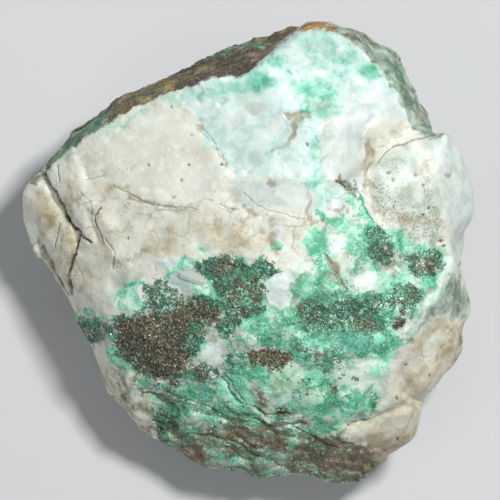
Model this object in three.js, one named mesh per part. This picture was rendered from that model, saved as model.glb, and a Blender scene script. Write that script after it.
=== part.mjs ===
// A hand-sized lump of milky quartz grown through with malachite: one broken natural solid that lies on
// a flat underside. Millimetres, +Z up, the origin under the middle of the lump on the resting plane.
// The upper and the lower side are each laid out as named ridges, ledges and hollows, joined along the
// rim, refined, and given the swells, steps, cracks and grit of broken rock.
import * as THREE from "three";
import { ImprovedNoise } from "three/addons/math/ImprovedNoise.js";

// Driving dimensions.
const WIDTH = 90.8; // west tip to east block, along X
const DEPTH = 92.4; // north tip to south foot, along Y
const HEIGHT = 46; // resting face to crown

// How finely each kind of surface is faceted: the longest edge left in it.
const UPPER_EDGE = 3.4;
const GRIT_EDGE = 2.75;
const CRACK_EDGE = 1.7;
const LOWER_EDGE = 6.5;
const BASE_EDGE = 14;
const RIM_EDGE = 3.6;

// Relief of the broken surface: height, then the width of one swell.
const SWELL = { height: 0.8, width: 15 };
const HACKLE = { height: 0.5, width: 5.2 };
const LUMP = { height: 0.9, width: 8 };
const GRIT = { height: 0.5, width: 3.1 };
const STEP = { height: 0.8, width: 13, steps: 3 };
const CALM_SHARE = 0.25; // how much of the hackle and the steps the calm faces keep
const LOWEST_FREE_POINT = 0.25; // what doesn't belong to the resting face stays this far above it
const FOOT_HEIGHT = 4; // relief fades out over this height towards the resting face
const AREA_EDGE = { inner: 0.75, outer: 1.05 }; // where a round area starts to fade and is gone, in radii
const CRACK_SHAPE = 1.3; // above 1 a crack's sides steepen towards its bottom
const UPWARD = 0.15; // a normal's Z above which the surface counts as upper side
const SMOOTHING_PASSES = 2;
const SHARP_REACH = 1.4; // ridges keep their edge within this distance
const LOWER_SOFTNESS = 0.3; // how much of the easing the lower side's facets get

// The rim, clockwise from the west tip, as [x, y, z].
const NORTH_WEST_RIM = [
  [-46, 9.8, 17], [-45.4, 12, 19], [-42.6, 15.4, 17.5], [-40.4, 17, 19], [-35.6, 22.4, 22],
  [-31.6, 26, 19], [-27.6, 28.8, 16.5], [-25.6, 31.2, 19], [-23, 32, 23], [-18, 34, 24.5],
  [-12, 36.6, 21], [-8.4, 38.6, 18.5], [-5, 40, 20], [0, 42.2, 25], [4, 43, 24], [6, 44.4, 21],
];
const NORTH_EAST_RIM = [
  [9.2, 45, 20], [11.2, 46.4, 23], [14, 46.4, 26], [18, 45, 24], [21, 44.2, 20], [24, 42.4, 18.5],
  [27.6, 40.2, 21], [28.4, 38.4, 24], [30.4, 35.8, 26.5], [31.6, 32.6, 25], [33.6, 29.6, 21],
  [34.4, 26.6, 20], [35.2, 24.2, 22],
];
const BLOCK_RIM = [
  [38.4, 24.4, 26], [40.8, 21.2, 29], [42, 17.8, 30], [43, 15, 28], [44.4, 11, 26], [44.8, 9.4, 25],
  [44.2, 6.8, 26], [42.4, 5, 23],
];
const EAST_RIM = [
  [41.8, 2, 19], [40.8, -1, 17.5], [40.8, -3, 18], [41.6, -5.8, 20.5], [43, -8.6, 23], [42.8, -12, 22],
  [41.6, -15, 18.5], [42, -19.2, 17], [41.2, -21, 18], [37, -25.2, 21], [34.8, -26.8, 22],
  [33, -29, 21.5], [33.4, -31.4, 18.5], [34, -34.6, 16.5], [33, -37, 16.5],
];
const SOUTH_RIM = [
  [30.6, -39.2, 17], [28.4, -40, 16], [24, -43.2, 13], [22, -45, 11.5], [18.8, -45.8, 12],
  [13.8, -45.8, 14.5], [10.4, -45, 13.5], [7.2, -44.8, 11.5], [4.6, -45.6, 10.5], [0.4, -45.4, 12],
  [-5.8, -42.8, 14.5], [-8.2, -42.8, 13.5], [-14.8, -40.2, 11],
];
const SOUTH_WEST_RIM = [
  [-20.4, -36.4, 12], [-22.4, -34.8, 13.5], [-25.6, -31, 15], [-26.6, -29.2, 14],
  [-28.2, -28.2, 12.5], [-29.2, -23.4, 12], [-31, -18.6, 14.5], [-34.6, -14.2, 15.5], [-35.4, -10, 14],
  [-38.8, -5, 13.5], [-40.2, -2.2, 15.5], [-42.6, -0.2, 17.5], [-44.2, 3, 17], [-45.4, 6.8, 16],
];
const RIM = [
  ...NORTH_WEST_RIM, ...NORTH_EAST_RIM, ...BLOCK_RIM, ...EAST_RIM, ...SOUTH_RIM, ...SOUTH_WEST_RIM,
];

// Sharp ridges of the upper side.
const NORTH_WEST_RIDGE = [
  [-44.2, 12.6, 21.5], [-41.6, 15, 24], [-38, 18.2, 27], [-35.8, 19.2, 28], [-33.6, 20.4, 30],
  [-32, 22.4, 31], [-30.4, 23.6, 32], [-27.4, 25.6, 33.5], [-24.2, 28.6, 35], [-22.4, 30.4, 36],
  [-17.8, 30.8, 38], [-13.4, 32.2, 39], [-10, 34, 40], [-6.2, 35.2, 41], [-2.4, 34.6, 42],
  [0, 35.6, 42], [2.4, 37.6, 42], [4.4, 39.6, 41], [6.6, 41.4, 40], [9.2, 43.8, 38.5],
];
const NORTH_EAST_RIDGE = [
  [11.6, 45, 37.5], [14, 44.2, 38], [18.8, 43.2, 37], [20.8, 41.8, 37], [23.2, 39.8, 37],
  [25.4, 38.2, 36.5], [27.6, 36.6, 36], [29.2, 33.2, 36], [30.2, 30.8, 36], [30.8, 27.8, 36],
];
const BLOCK_RIDGE = [
  [38, 23.8, 37], [37.6, 20.4, 38.4], [36.6, 16.4, 39.6], [36.4, 13, 40], [37.2, 8.6, 38.8],
  [38, 4, 37], [38.6, 0.6, 36.2], [38.8, -3.6, 36],
];
const DRUSE_EDGE = [
  [36.6, -8.8, 37.2], [35.2, -12, 37], [32.4, -15, 36.5], [30.6, -18.6, 35.8], [29, -22.4, 34.8],
  [27.4, -26.4, 33.6],
];
const SHARP_LINES = [NORTH_WEST_RIDGE, NORTH_EAST_RIDGE, BLOCK_RIDGE, DRUSE_EDGE];

// Ledges: the line of the brink with its height, and how far the surface drops on its left-hand side.
const BLOCK_LEDGE = {
  line: [
    [22, 17, 42.2], [25.6, 18.8, 41.6], [28, 20.6, 40.8], [30, 21.7, 40], [32.2, 22.7, 39.4],
    [34.6, 23.6, 38.6],
  ],
  drop: 3.2,
};
const CENTRE_LEDGE = {
  line: [[-24, 11.8, 35.4], [-20, 11, 37], [-15, 9.6, 38.8], [-10, 8.8, 40.4], [-5, 9.8, 41.8]],
  drop: -0.9,
};
const SMOOTH_LEDGE = {
  line: [[-4.6, 16, 42.6], [-6.2, 19.4, 41.6], [-8, 22.4, 41], [-10.6, 25, 40.2], [-12, 28, 39.8]],
  drop: -0.8,
};
const GLASSY_LEDGE = {
  line: [[6, 19, 44], [9, 22.6, 44.4], [12.8, 26.4, 44.2], [17, 28.4, 43.2], [22, 29.4, 41.4]],
  drop: 1.1,
};
const FOOT_LEDGE = {
  line: [[-6, -39.4, 19.6], [2, -40.6, 19.4], [10, -41, 19.6], [18, -41.6, 19.4]],
  drop: -1.4,
};
const LEDGES = [BLOCK_LEDGE, CENTRE_LEDGE, SMOOTH_LEDGE, GLASSY_LEDGE, FOOT_LEDGE];
const LEDGE_SPREAD = 0.45; // half the plan width of a ledge's riser

// Heights on the open faces of the upper side.
const WEST_FACE = [
  [-41.4, 6.2, 22.5], [-42.4, 9.4, 22], [-38.6, 14.6, 26], [-38.6, 2, 22], [-35.8, 9, 28],
  [-35, 2.4, 28], [-32, 1, 30], [-31.8, 12, 31.4], [-34.6, -4.4, 25], [-31, -8, 28],
];
const SMOOTH_FACE = [
  [-28.6, 18, 33], [-20, 21, 37], [-10, 21, 40], [-3, 26, 42], [-2, 15, 42.4], [-13, 27, 39],
  [-26, 11, 34.5], [-30, 5, 32],
];
const GLASSY_FACE = [
  [4, 30, 43.6], [10, 36, 42], [17, 38, 40.4], [10, 27, 44.2], [18, 29, 42.2], [26, 29, 39.2],
  [25, 35, 38], [12, 20, 44.6], [19, 21, 42.2], [26, 23.6, 38.4],
];
const CENTRE = [
  [14, 11, 45], [10, 1, 45.4], [0, 4, 44], [-10, 1, 40.6], [-20, -1, 36.4], [20, 6, 44],
  [5, -4, 44.6], [18, -3, 44],
];
const BLOCK_TOP = [
  [23, 10, 42.4], [26, 15.8, 41.6], [31, 15, 41.2], [30, 6, 41.4], [34, 20, 38.6], [28, 0, 41.6],
  [41, 14, 34.5], [41.4, 8, 33.5], [40.4, 19.4, 33.5],
];
const DRUSE = [
  [10, -9, 43], [10, -19, 40], [10, -29, 35.4], [0, -25, 36], [-1, -13, 41], [-10, -15, 36.8],
  [-13, -8, 38.4], [-20, -15, 33], [-26, -13, 30], [-28, -20, 26], [26, -9, 41], [33, -5, 39.6],
  [22, -18, 39], [20, -27, 35.4], [-8, -22, 33.6], [-17, -21, 29.6],
];
const EAST_WALL = [
  [40, -6.6, 31], [39.6, -11, 30], [38, -14, 31], [40, -18, 26.5], [37.6, -19.6, 28.6], [34, -25, 28],
  [31.6, -30.4, 28.4], [30.6, -35.4, 25],
];
const SOUTH_SLOPE = [
  [-24, -25, 22.6], [-20, -29, 22.6], [-10, -33, 24.6], [-4, -29.4, 30], [0, -36, 25.6],
  [10, -36.4, 26.4], [18, -38.6, 25], [20, -33, 31], [26, -36, 26], [-26.4, -20.6, 23.4],
];
const NORTH_WALL = [
  [-37, 20, 23], [-30.4, 25.6, 27], [-22.6, 31.6, 28.6], [-15, 34, 31], [-8.6, 36.6, 33],
  [-3, 38.8, 34], [2.6, 41, 32], [8, 44.2, 31], [13, 45.8, 31], [20, 43.6, 31], [25.6, 40, 31],
  [28.8, 36.6, 31], [31.2, 30.6, 31], [33, 26.8, 32],
];
const UPPER = [
  ...NORTH_WEST_RIDGE, ...NORTH_EAST_RIDGE, ...BLOCK_RIDGE, ...DRUSE_EDGE, ...WEST_FACE,
  ...SMOOTH_FACE, ...GLASSY_FACE, ...CENTRE, ...BLOCK_TOP, ...DRUSE, ...EAST_WALL, ...SOUTH_SLOPE,
  ...NORTH_WALL,
];

// The hidden lower side: facets that fall in from the rim to the flat face that the lump rests on.
const UNDERCUT = [
  [40.6, 15, 15], [37, 9, 10], [38.6, 0, 10.6], [33.6, 23, 13.6], [27, 26, 8.4], [20, 38.4, 12.6],
  [8, 40.6, 12], [13, 33, 6.4], [-4, 35.6, 10.6], [-8, 28.4, 4.8], [-20, 28.6, 10.4], [-28, 21, 7.8],
  [-38, 12.6, 10.4], [-35, 4, 6.6], [-30.4, -5, 5.4], [-30.8, -15, 8.2], [-25, -20, 4.4],
  [-20, -31, 7], [-9, -33, 3.6], [-4, -39.6, 7.4], [9, -37, 4.2], [19, -40.6, 8.4], [25, -31, 5],
  [31, -29.6, 12.4], [35, -19, 8], [38.8, -13, 12.8], [37.4, -6, 8.8],
];
const RESTING_FACE = [
  [31, 5], [25, 17], [13, 23.4], [-4, 21.6], [-17, 16], [-25, 3.6], [-20.6, -10], [-11, -22.4],
  [6, -28.6], [21, -24.6], [30.6, -11], [4, -3], [14, 8], [-8, 6], [16, -12], [-3, -14],
];
const LOWER = [...UNDERCUT, ...RESTING_FACE.map(([x, y]) => [x, y, 0])];

// Open cracks of the upper side: their run in plan, how deep they go and how wide they gape.
const CRACKS = [
  {
    run: [
      [-40.4, 16.4], [-38.8, 14.4], [-38.6, 12.8], [-37.2, 10], [-35.6, 7.8], [-33.8, 4.6], [-33, 1],
    ],
    depth: 2.2,
    gape: 1.5,
  },
  { run: [[-33.4, 6.4], [-32.4, 3.8], [-31.8, 1.2]], depth: 1.2, gape: 1.1 },
  { run: [[-40.8, 3], [-39.6, 0], [-38, -4.6], [-36.4, -7.6]], depth: 2.4, gape: 1.6 },
  { run: [[-34.4, 1.6], [-35, -1.6], [-36.2, -4.6], [-35.4, -7.8]], depth: 1.8, gape: 1.4 },
  { run: [[-31, 8.4], [-30.2, 5.6], [-29.2, 2.4]], depth: 1.1, gape: 1.1 },
  { run: [[-38, 18], [-37.8, 16.4], [-37.4, 14.6]], depth: 0.9, gape: 0.9 },
  { run: [[-31.4, 15.6], [-29, 16.2], [-26, 15.6], [-24, 13.6]], depth: 0.7, gape: 1 },
  { run: [[23, 22.4], [22.8, 18.6], [23.2, 13], [24.4, 9]], depth: 1.3, gape: 2.2 },
  { run: [[17.4, 14.8], [20, 12.2], [21.8, 10.6]], depth: 1, gape: 1.2 },
  { run: [[33.6, -28.6], [30.4, -29.6], [25, -31], [19, -34]], depth: 1.8, gape: 1.8 },
  { run: [[-5.2, -25], [-2.4, -29.4]], depth: 1.1, gape: 1.2 },
  { run: [[0.8, -29], [2.4, -31.4], [8, -31.8]], depth: 1.2, gape: 1.3 },
  { run: [[-0.4, -32], [5.6, -35], [11, -35.6]], depth: 1.2, gape: 1.3 },
  { run: [[-22, -27.2], [-18.6, -27.8], [-16.4, -29], [-14, -31.2]], depth: 1, gape: 1.2 },
];
// Areas of gritty druse, as [x, y, radius] round their middles.
const GRIT_AREAS = [
  [20, -12, 15], [4, -8, 12], [-5, -4, 9], [-17, -16, 12], [-2, -20, 12], [12, -30, 12], [34, -3, 8],
  [-12, -34, 12], [2, -40, 12], [18, -40, 12],
];

// Calm faces where the quartz parted smoothly, as [x, y, radius].
const CALM_AREAS = [
  [-17, 20, 13], [-25, 16, 7], [-5, 23, 7], [4, 21, 6], [18, 21, 6.5], [31, 12, 8], [41, 13, 9],
  [37, -19, 7], [29, -33, 6],
];

const noise = new ImprovedNoise();
const smoothstep = THREE.MathUtils.smoothstep;

// Smooth noise from -1 to 1 at a point; each seed gives another field.
function field(point, width, seed) {
  return noise.noise(point.x / width + seed, point.y / width - seed, point.z / width + 2 * seed);
}

// The rim with every stretch longer than RIM_EDGE parted into even steps.
function stepped(points) {
  return points.flatMap((from, i) => {
    const to = points[(i + 1) % points.length];
    const count = Math.ceil(Math.hypot(to[0] - from[0], to[1] - from[1]) / RIM_EDGE);
    return Array.from({ length: count }, (_, k) => from.map((v, axis) => v + ((to[axis] - v) * k) / count));
  });
}

// The two rows of landmarks that make a ledge: its brink and its foot.
function ledgeRows({ line, drop }) {
  return line.flatMap(([x, y, z], i) => {
    const before = line[Math.max(i - 1, 0)];
    const after = line[Math.min(i + 1, line.length - 1)];
    const length = Math.hypot(after[0] - before[0], after[1] - before[1]);
    const left = [(before[1] - after[1]) / length, (after[0] - before[0]) / length];
    const spread = LEDGE_SPREAD;
    return [
      [x - left[0] * spread, y - left[1] * spread, z],
      [x + left[0] * spread, y + left[1] * spread, z - drop],
    ];
  });
}

// True if the circle through three points of a triangle holds the point.
function circleHolds(points, [a, b, c], p) {
  const rows = [a, b, c].map((i) => [points[i][0] - p[0], points[i][1] - p[1]]);
  const lift = rows.map(([x, y]) => x * x + y * y);
  const area =
    lift[0] * (rows[1][0] * rows[2][1] - rows[2][0] * rows[1][1]) -
    lift[1] * (rows[0][0] * rows[2][1] - rows[2][0] * rows[0][1]) +
    lift[2] * (rows[0][0] * rows[1][1] - rows[1][0] * rows[0][1]);
  return area > 0;
}

// Delaunay triangles of the points in plan, each turning left, by adding one point after another.
function triangulate(points) {
  const far = 1000;
  const count = points.length;
  const all = [...points, [-far, -far], [far, -far], [0, far]];
  let triangles = [[count, count + 1, count + 2]];
  for (let i = 0; i < count; i++) {
    const edges = new Map();
    const kept = [];
    for (const triangle of triangles) {
      if (!circleHolds(all, triangle, all[i])) {
        kept.push(triangle);
        continue;
      }
      triangle.forEach((from, k) => {
        const to = triangle[(k + 1) % 3];
        if (!edges.delete(`${to},${from}`)) edges.set(`${from},${to}`, [from, to]);
      });
    }
    triangles = [...kept, ...[...edges.values()].map(([from, to]) => [from, to, i])];
  }
  return triangles.filter((triangle) => triangle.every((i) => i < count));
}

function insideRim(rim, x, y) {
  let inside = false;
  rim.forEach(([x1, y1], i) => {
    const [x2, y2] = rim[(i + 1) % rim.length];
    if (y1 > y !== y2 > y && x < x1 + ((y - y1) / (y2 - y1)) * (x2 - x1)) inside = !inside;
  });
  return inside;
}

// The triangles of one side that lie within the rim.
function sideTriangles(rim, landmarks) {
  const points = [...rim, ...landmarks];
  return triangulate(points).filter((triangle) => {
    const [x, y] = [0, 1].map((axis) => triangle.reduce((sum, i) => sum + points[i][axis] / 3, 0));
    return insideRim(rim, x, y);
  });
}

// Stretches of the rim that a side's triangles don't follow.
function missedStretches(rim, triangles) {
  const edges = new Set(triangles.flatMap(([a, b, c]) => [`${a},${b}`, `${b},${c}`, `${c},${a}`]));
  return rim.map((_, i) => i).filter((i) => {
    const next = (i + 1) % rim.length;
    return !edges.has(`${i},${next}`) && !edges.has(`${next},${i}`);
  });
}

// Upper and lower side joined along one rim, which is halved wherever either side misses it.
function closedFacets() {
  const upper = [...UPPER, ...LEDGES.flatMap(ledgeRows)];
  let rim = stepped(RIM);
  for (;;) {
    const above = sideTriangles(rim, upper);
    const below = sideTriangles(rim, LOWER);
    const missed = new Set([...missedStretches(rim, above), ...missedStretches(rim, below)]);
    if (!missed.size) {
      const shift = (i) => (i < rim.length ? i : i + upper.length);
      return {
        points: [...rim, ...upper, ...LOWER].map((p) => new THREE.Vector3(...p)),
        triangles: [...above, ...below.map(([a, b, c]) => [shift(a), shift(c), shift(b)])],
      };
    }
    rim = rim.flatMap((from, i) => {
      const to = rim[(i + 1) % rim.length];
      return missed.has(i) ? [from, from.map((v, axis) => (v + to[axis]) / 2)] : [from];
    });
  }
}

// Distance in plan from a point to a run of points.
function distanceToRun(point, run) {
  let best = Infinity;
  for (let i = 0; i + 1 < run.length; i++) {
    const [ax, ay] = run[i];
    const [dx, dy] = [run[i + 1][0] - ax, run[i + 1][1] - ay];
    const along = THREE.MathUtils.clamp(((point.x - ax) * dx + (point.y - ay) * dy) / (dx * dx + dy * dy), 0, 1);
    best = Math.min(best, Math.hypot(point.x - ax - along * dx, point.y - ay - along * dy));
  }
  return best;
}

// How far a point lies within some round areas, from 0 outside to 1 inside.
function within(areas, point) {
  const cover = areas.map(([x, y, radius]) => Math.hypot(point.x - x, point.y - y) / radius);
  return 1 - smoothstep(Math.min(...cover), AREA_EDGE.inner, AREA_EDGE.outer);
}

function isResting(point) {
  return point.z === 0;
}

// The longest edge that may stay round a point. The lower side is known by its downward normal.
function longestEdge(middle, lower) {
  if (middle.z < 0.01) return BASE_EDGE;
  if (lower) return LOWER_EDGE;
  if (CRACKS.some(({ run, gape }) => distanceToRun(middle, run) < gape)) return CRACK_EDGE;
  return THREE.MathUtils.lerp(UPPER_EDGE, GRIT_EDGE, within(GRIT_AREAS, middle));
}

// One round of splitting: every edge that is too long gets a middle point, shared by both its triangles.
function splitOnce({ points, triangles }) {
  const normal = new THREE.Vector3();
  const facing = new Map();
  const edgeName = (a, b) => (a < b ? `${a},${b}` : `${b},${a}`);
  for (const [a, b, c] of triangles) {
    THREE.Triangle.getNormal(points[a], points[b], points[c], normal);
    for (const name of [edgeName(a, b), edgeName(b, c), edgeName(c, a)])
      facing.set(name, Math.max(facing.get(name) ?? -1, normal.z));
  }
  const middles = new Map();
  for (const [name, up] of facing) {
    const [a, b] = name.split(",").map(Number);
    const middle = points[a].clone().lerp(points[b], 0.5);
    if (points[a].distanceTo(points[b]) <= longestEdge(middle, up < 0)) continue;
    middles.set(name, points.length);
    points.push(middle);
  }
  const split = triangles.flatMap((triangle) => {
    const [a, b, c] = triangle;
    const cuts = [middles.get(edgeName(a, b)), middles.get(edgeName(b, c)), middles.get(edgeName(c, a))];
    const first = cuts.findIndex((cut) => cut !== undefined);
    if (first < 0) return [triangle];
    const made = cuts.filter((cut) => cut !== undefined).length;
    // Turned so that an uncut edge comes last where there is one.
    const turn = made === 2 ? (cuts.findIndex((cut) => cut === undefined) + 1) % 3 : first;
    const [p, q, r] = [0, 1, 2].map((k) => triangle[(turn + k) % 3]);
    const [pq, qr, rp] = [0, 1, 2].map((k) => cuts[(turn + k) % 3]);
    if (made === 1) return [[p, pq, r], [pq, q, r]];
    if (made === 3) return [[p, pq, rp], [pq, q, qr], [rp, qr, r], [pq, qr, rp]];
    const slanted = points[p].distanceTo(points[qr]) < points[pq].distanceTo(points[r]);
    return [[pq, q, qr], ...(slanted ? [[p, pq, qr], [p, qr, r]] : [[p, pq, r], [pq, qr, r]])];
  });
  return { points, triangles: split, done: middles.size === 0 };
}

function refined(mesh) {
  let current = mesh;
  do current = splitOnce(current);
  while (!current.done);
  return current;
}

// Smooth normals and neighbours of every point.
function surroundings({ points, triangles }) {
  const normals = points.map(() => new THREE.Vector3());
  const neighbours = points.map(() => new Set());
  const cross = new THREE.Vector3();
  const side = new THREE.Vector3();
  for (const [a, b, c] of triangles) {
    cross.subVectors(points[b], points[a]).cross(side.subVectors(points[c], points[a]));
    for (const i of [a, b, c]) normals[i].add(cross);
    neighbours[a].add(b).add(c);
    neighbours[b].add(c).add(a);
    neighbours[c].add(a).add(b);
  }
  normals.forEach((normal) => normal.normalize());
  return { normals, neighbours };
}

// How far a point moves when the facets are eased into each other. Ridges and the resting face stay.
function softness(point, up) {
  if (isResting(point)) return 0;
  const reach = Math.min(...SHARP_LINES.map((line) => distanceToRun(point, line)));
  const side = THREE.MathUtils.lerp(LOWER_SOFTNESS, 1, smoothstep(up, -0.6, 0));
  return 0.5 * smoothstep(reach, 0, SHARP_REACH) * side;
}

function ease({ points, triangles }) {
  const { normals, neighbours } = surroundings({ points, triangles });
  for (let pass = 0; pass < SMOOTHING_PASSES; pass++) {
    const middles = points.map((_, i) => {
      const sum = new THREE.Vector3();
      for (const k of neighbours[i]) sum.add(points[k]);
      return sum.divideScalar(neighbours[i].size);
    });
    points.forEach((point, i) => point.lerp(middles[i], softness(point, normals[i].z)));
  }
}

// Terraces where the rock broke in flat steps.
function terrace(point) {
  const level = (field(point, STEP.width, 5.3) + 1) * STEP.steps;
  const whole = Math.floor(level);
  return ((whole + smoothstep(level - whole, 0.3, 0.7)) / STEP.steps - 1) * STEP.height;
}

// How far the surface stands out from its facets at a point.
function relief(point, up) {
  const grit = up > UPWARD ? within(GRIT_AREAS, point) : 0;
  const lively = up > UPWARD ? 1 - (1 - CALM_SHARE) * within(CALM_AREAS, point) : 1;
  const crest = 0.5 - 2 * Math.abs(field(point, HACKLE.width * 1.6, 4.2));
  const hackle = crest + 0.5 * field(point, HACKLE.width / 2, 8.1);
  const grains = field(point, GRIT.width, 3.9) + 0.6 * field(point, GRIT.width / 2, 6.4);
  return (
    SWELL.height * field(point, SWELL.width, 0.4) +
    lively * terrace(point) * (1 - grit) +
    lively * HACKLE.height * hackle * (1 - 0.5 * grit) +
    (LUMP.height * field(point, LUMP.width, 9.2) + GRIT.height * grains) * grit
  );
}

function crackDepth(point) {
  return CRACKS.reduce((deepest, { run, depth, gape }) => {
    const reach = distanceToRun(point, run) / gape;
    return reach < 1 ? Math.max(deepest, depth * (1 - reach) ** CRACK_SHAPE) : deepest;
  }, 0);
}

function roughen({ points, triangles }) {
  const { normals } = surroundings({ points, triangles });
  points.forEach((point, i) => {
    if (isResting(point)) return;
    const settle = smoothstep(point.z, 0, FOOT_HEIGHT);
    const raised = relief(point, normals[i].z) * settle;
    const sunk = normals[i].z > UPWARD ? crackDepth(point) : 0;
    point.addScaledVector(normals[i], raised);
    point.z = Math.max(point.z - sunk, LOWEST_FREE_POINT);
  });
}

function indexedGeometry({ points, triangles }) {
  const geometry = new THREE.BufferGeometry().setFromPoints(points);
  geometry.setIndex(triangles.flat());
  return geometry;
}

// Sizes the lump to its driving dimensions, with its box centred over the origin.
function sized(geometry) {
  geometry.computeBoundingBox();
  const size = geometry.boundingBox.getSize(new THREE.Vector3());
  const middle = geometry.boundingBox.getCenter(new THREE.Vector3());
  geometry.translate(-middle.x, -middle.y, -geometry.boundingBox.min.z);
  geometry.scale(WIDTH / size.x, DEPTH / size.y, HEIGHT / size.z);
  geometry.computeVertexNormals();
  return geometry;
}

function rockGeometry() {
  const mesh = refined(closedFacets());
  ease(mesh);
  roughen(mesh);
  return sized(indexedGeometry(mesh));
}

const stone = new THREE.MeshStandardMaterial({ color: 0xb9c2b2, roughness: 0.6, metalness: 0 });
const rock = new THREE.Mesh(rockGeometry(), stone);
rock.name = "malachite_quartz_rock";

const group = new THREE.Group();
group.add(rock);

export default group;
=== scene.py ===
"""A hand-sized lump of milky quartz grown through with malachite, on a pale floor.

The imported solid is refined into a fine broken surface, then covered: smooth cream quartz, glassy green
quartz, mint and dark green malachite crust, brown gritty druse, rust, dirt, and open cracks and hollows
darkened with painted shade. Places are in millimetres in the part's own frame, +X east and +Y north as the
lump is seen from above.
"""

import itertools
import math

import bpy
import numpy as np
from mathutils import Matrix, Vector


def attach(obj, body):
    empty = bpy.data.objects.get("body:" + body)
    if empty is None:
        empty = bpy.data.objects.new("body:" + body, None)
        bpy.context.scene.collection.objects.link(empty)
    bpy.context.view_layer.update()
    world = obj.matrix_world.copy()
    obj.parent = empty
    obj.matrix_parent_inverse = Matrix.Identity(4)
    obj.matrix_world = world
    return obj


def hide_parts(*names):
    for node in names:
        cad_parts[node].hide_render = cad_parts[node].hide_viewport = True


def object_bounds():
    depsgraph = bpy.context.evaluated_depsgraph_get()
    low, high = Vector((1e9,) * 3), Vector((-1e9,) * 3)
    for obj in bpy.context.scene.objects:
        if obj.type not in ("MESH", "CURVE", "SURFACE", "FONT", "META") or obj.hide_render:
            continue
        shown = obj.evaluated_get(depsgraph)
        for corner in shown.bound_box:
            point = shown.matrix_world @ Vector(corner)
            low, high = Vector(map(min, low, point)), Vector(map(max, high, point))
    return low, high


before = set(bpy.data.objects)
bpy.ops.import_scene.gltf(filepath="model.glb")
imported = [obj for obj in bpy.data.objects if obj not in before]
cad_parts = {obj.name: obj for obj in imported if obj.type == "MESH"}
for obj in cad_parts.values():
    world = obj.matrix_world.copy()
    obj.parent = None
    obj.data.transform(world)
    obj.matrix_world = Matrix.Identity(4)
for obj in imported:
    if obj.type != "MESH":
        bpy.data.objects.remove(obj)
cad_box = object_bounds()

MM = 0.001
ROCK = "malachite_quartz_rock"

# How finely the surface is meshed, as the longest edge left in it, in millimetres.
UPPER_EDGE = 0.59
WALL_EDGE = 0.9
LOWER_EDGE = 2.0
CRACK_EDGE = 0.26
CRACK_REACH = 0.7  # how far from a crack its finer mesh goes
HALVINGS = 5
# The upward part of a normal above which a face is an upper one, below which it is a lower one, and above
# which it may have cracks.
UPPER_FACING = 0.45
LOWER_FACING = -0.1
CRACKED_FACING = 0.2

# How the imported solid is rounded: each pass pulls every point towards its neighbours, ridges least.
ROUNDING_PASSES = 11
ROUNDING_PULL = 0.6
RIDGE_HOLD = 0.7
RIDGE_BENDS = (38, 62)  # degrees at which an edge starts to count as a ridge, and counts in full
RIDGE_SPREADS = 3
RIDGE_FADE = 0.9
RIDGE_SPREAD = 1.4
RESTING_HEIGHT = 0.05  # points lower than this lie in the resting face and stay there
CAVITY_PASSES = (8, 30)  # after how many rounds of averaging a point is held against its surroundings

# ---------------------------------------------------------------- camera

VIEW_WIDTH = 100.0  # what the square frame takes in at the height of the rim
FRAME_MIDDLE = (0.6, 0.6, 24.0)
CAMERA_DISTANCE = 2600.0
SENSOR = 36.0
SEES_TO = 20.0  # metres


def add_camera():
    """A camera far above the lump that looks straight down."""
    data = bpy.data.cameras.new("camera")
    data.sensor_width = SENSOR
    data.lens = SENSOR * CAMERA_DISTANCE / VIEW_WIDTH
    data.clip_end = SEES_TO
    camera = bpy.data.objects.new("camera", data)
    bpy.context.scene.collection.objects.link(camera)
    x, y, z = FRAME_MIDDLE
    camera.location = (x * MM, y * MM, (z + CAMERA_DISTANCE) * MM)
    bpy.context.scene.camera = camera


add_camera()

# ---------------------------------------------------------------- noise

TURN = np.array(((0.36, 0.48, -0.8), (-0.8, 0.6, 0.0), (0.48, 0.64, 0.6)))  # keeps cells off the axes
# Large odd numbers and bit masks that scramble the number of a cell.
SCRAMBLE = (374761393, 668265263, 1442695041, 974711)
REMIX = 1274126177
LOW_BITS = 0xFFFFFFFF
KEPT_BITS = 0xFFFFFF
FAR_OFF = 9.0  # further than the nearest grain can be, in widths


def hashed(cell, seed):
    """Repeatable numbers from 0 to 1 for whole-number cells."""
    mixed = sum(cell[..., k] * SCRAMBLE[k] for k in range(3)) + seed * SCRAMBLE[3]
    mixed &= LOW_BITS
    mixed = ((mixed ^ (mixed >> 13)) * REMIX) & LOW_BITS
    return ((mixed ^ (mixed >> 16)) & KEPT_BITS) / (KEPT_BITS + 1)


def noise(points, width, seed):
    """Smooth noise from -1 to 1 whose swells are about width wide."""
    spot = points @ TURN.T / width + 0.37 * seed
    cell = np.floor(spot).astype(np.int64)
    part = spot - cell
    ease = part**3 * (part * (part * 6 - 15) + 10)
    total = np.zeros(len(points))
    for corner in itertools.product((0, 1), repeat=3):
        share = np.where(np.array(corner) == 1, ease, 1 - ease).prod(axis=1)
        total += share * hashed(cell + np.array(corner), seed)
    return 2 * total - 1


def rough(points, width, seed, octaves=3, gain=0.5):
    """Noise with finer noise on it, from about -1 to 1."""
    total = np.zeros(len(points))
    scale = 0.0
    for k in range(octaves):
        total += gain**k * noise(points, width / 2**k, seed + 17 * k)
        scale += gain**k
    return total / scale


def grains(points, width, seed):
    """The nearest grain of a random packing: how far its middle is and how much further the next one is,
    in widths, and its own random number."""
    spot = points / width + 0.61 * seed
    home = np.floor(spot).astype(np.int64)
    near = np.full(len(points), FAR_OFF)
    second = near.copy()
    number = np.zeros(len(points))
    for step in itertools.product((-1, 0, 1), repeat=3):
        cell = home + np.array(step)
        middle = cell + np.stack([hashed(cell, seed + k) for k in range(3)], axis=1)
        far = np.linalg.norm(spot - middle, axis=1)
        closer = far < near
        second = np.where(closer, near, np.minimum(second, far))
        near = np.where(closer, far, near)
        number = np.where(closer, hashed(cell, seed + 5), number)
    return near, second - near, number


def smooth(low, high, value):
    """0 at low, 1 at high and an even curve between them; low may be the larger one."""
    part = np.clip((value - low) / (high - low), 0, 1)
    return part * part * (3 - 2 * part)


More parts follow.
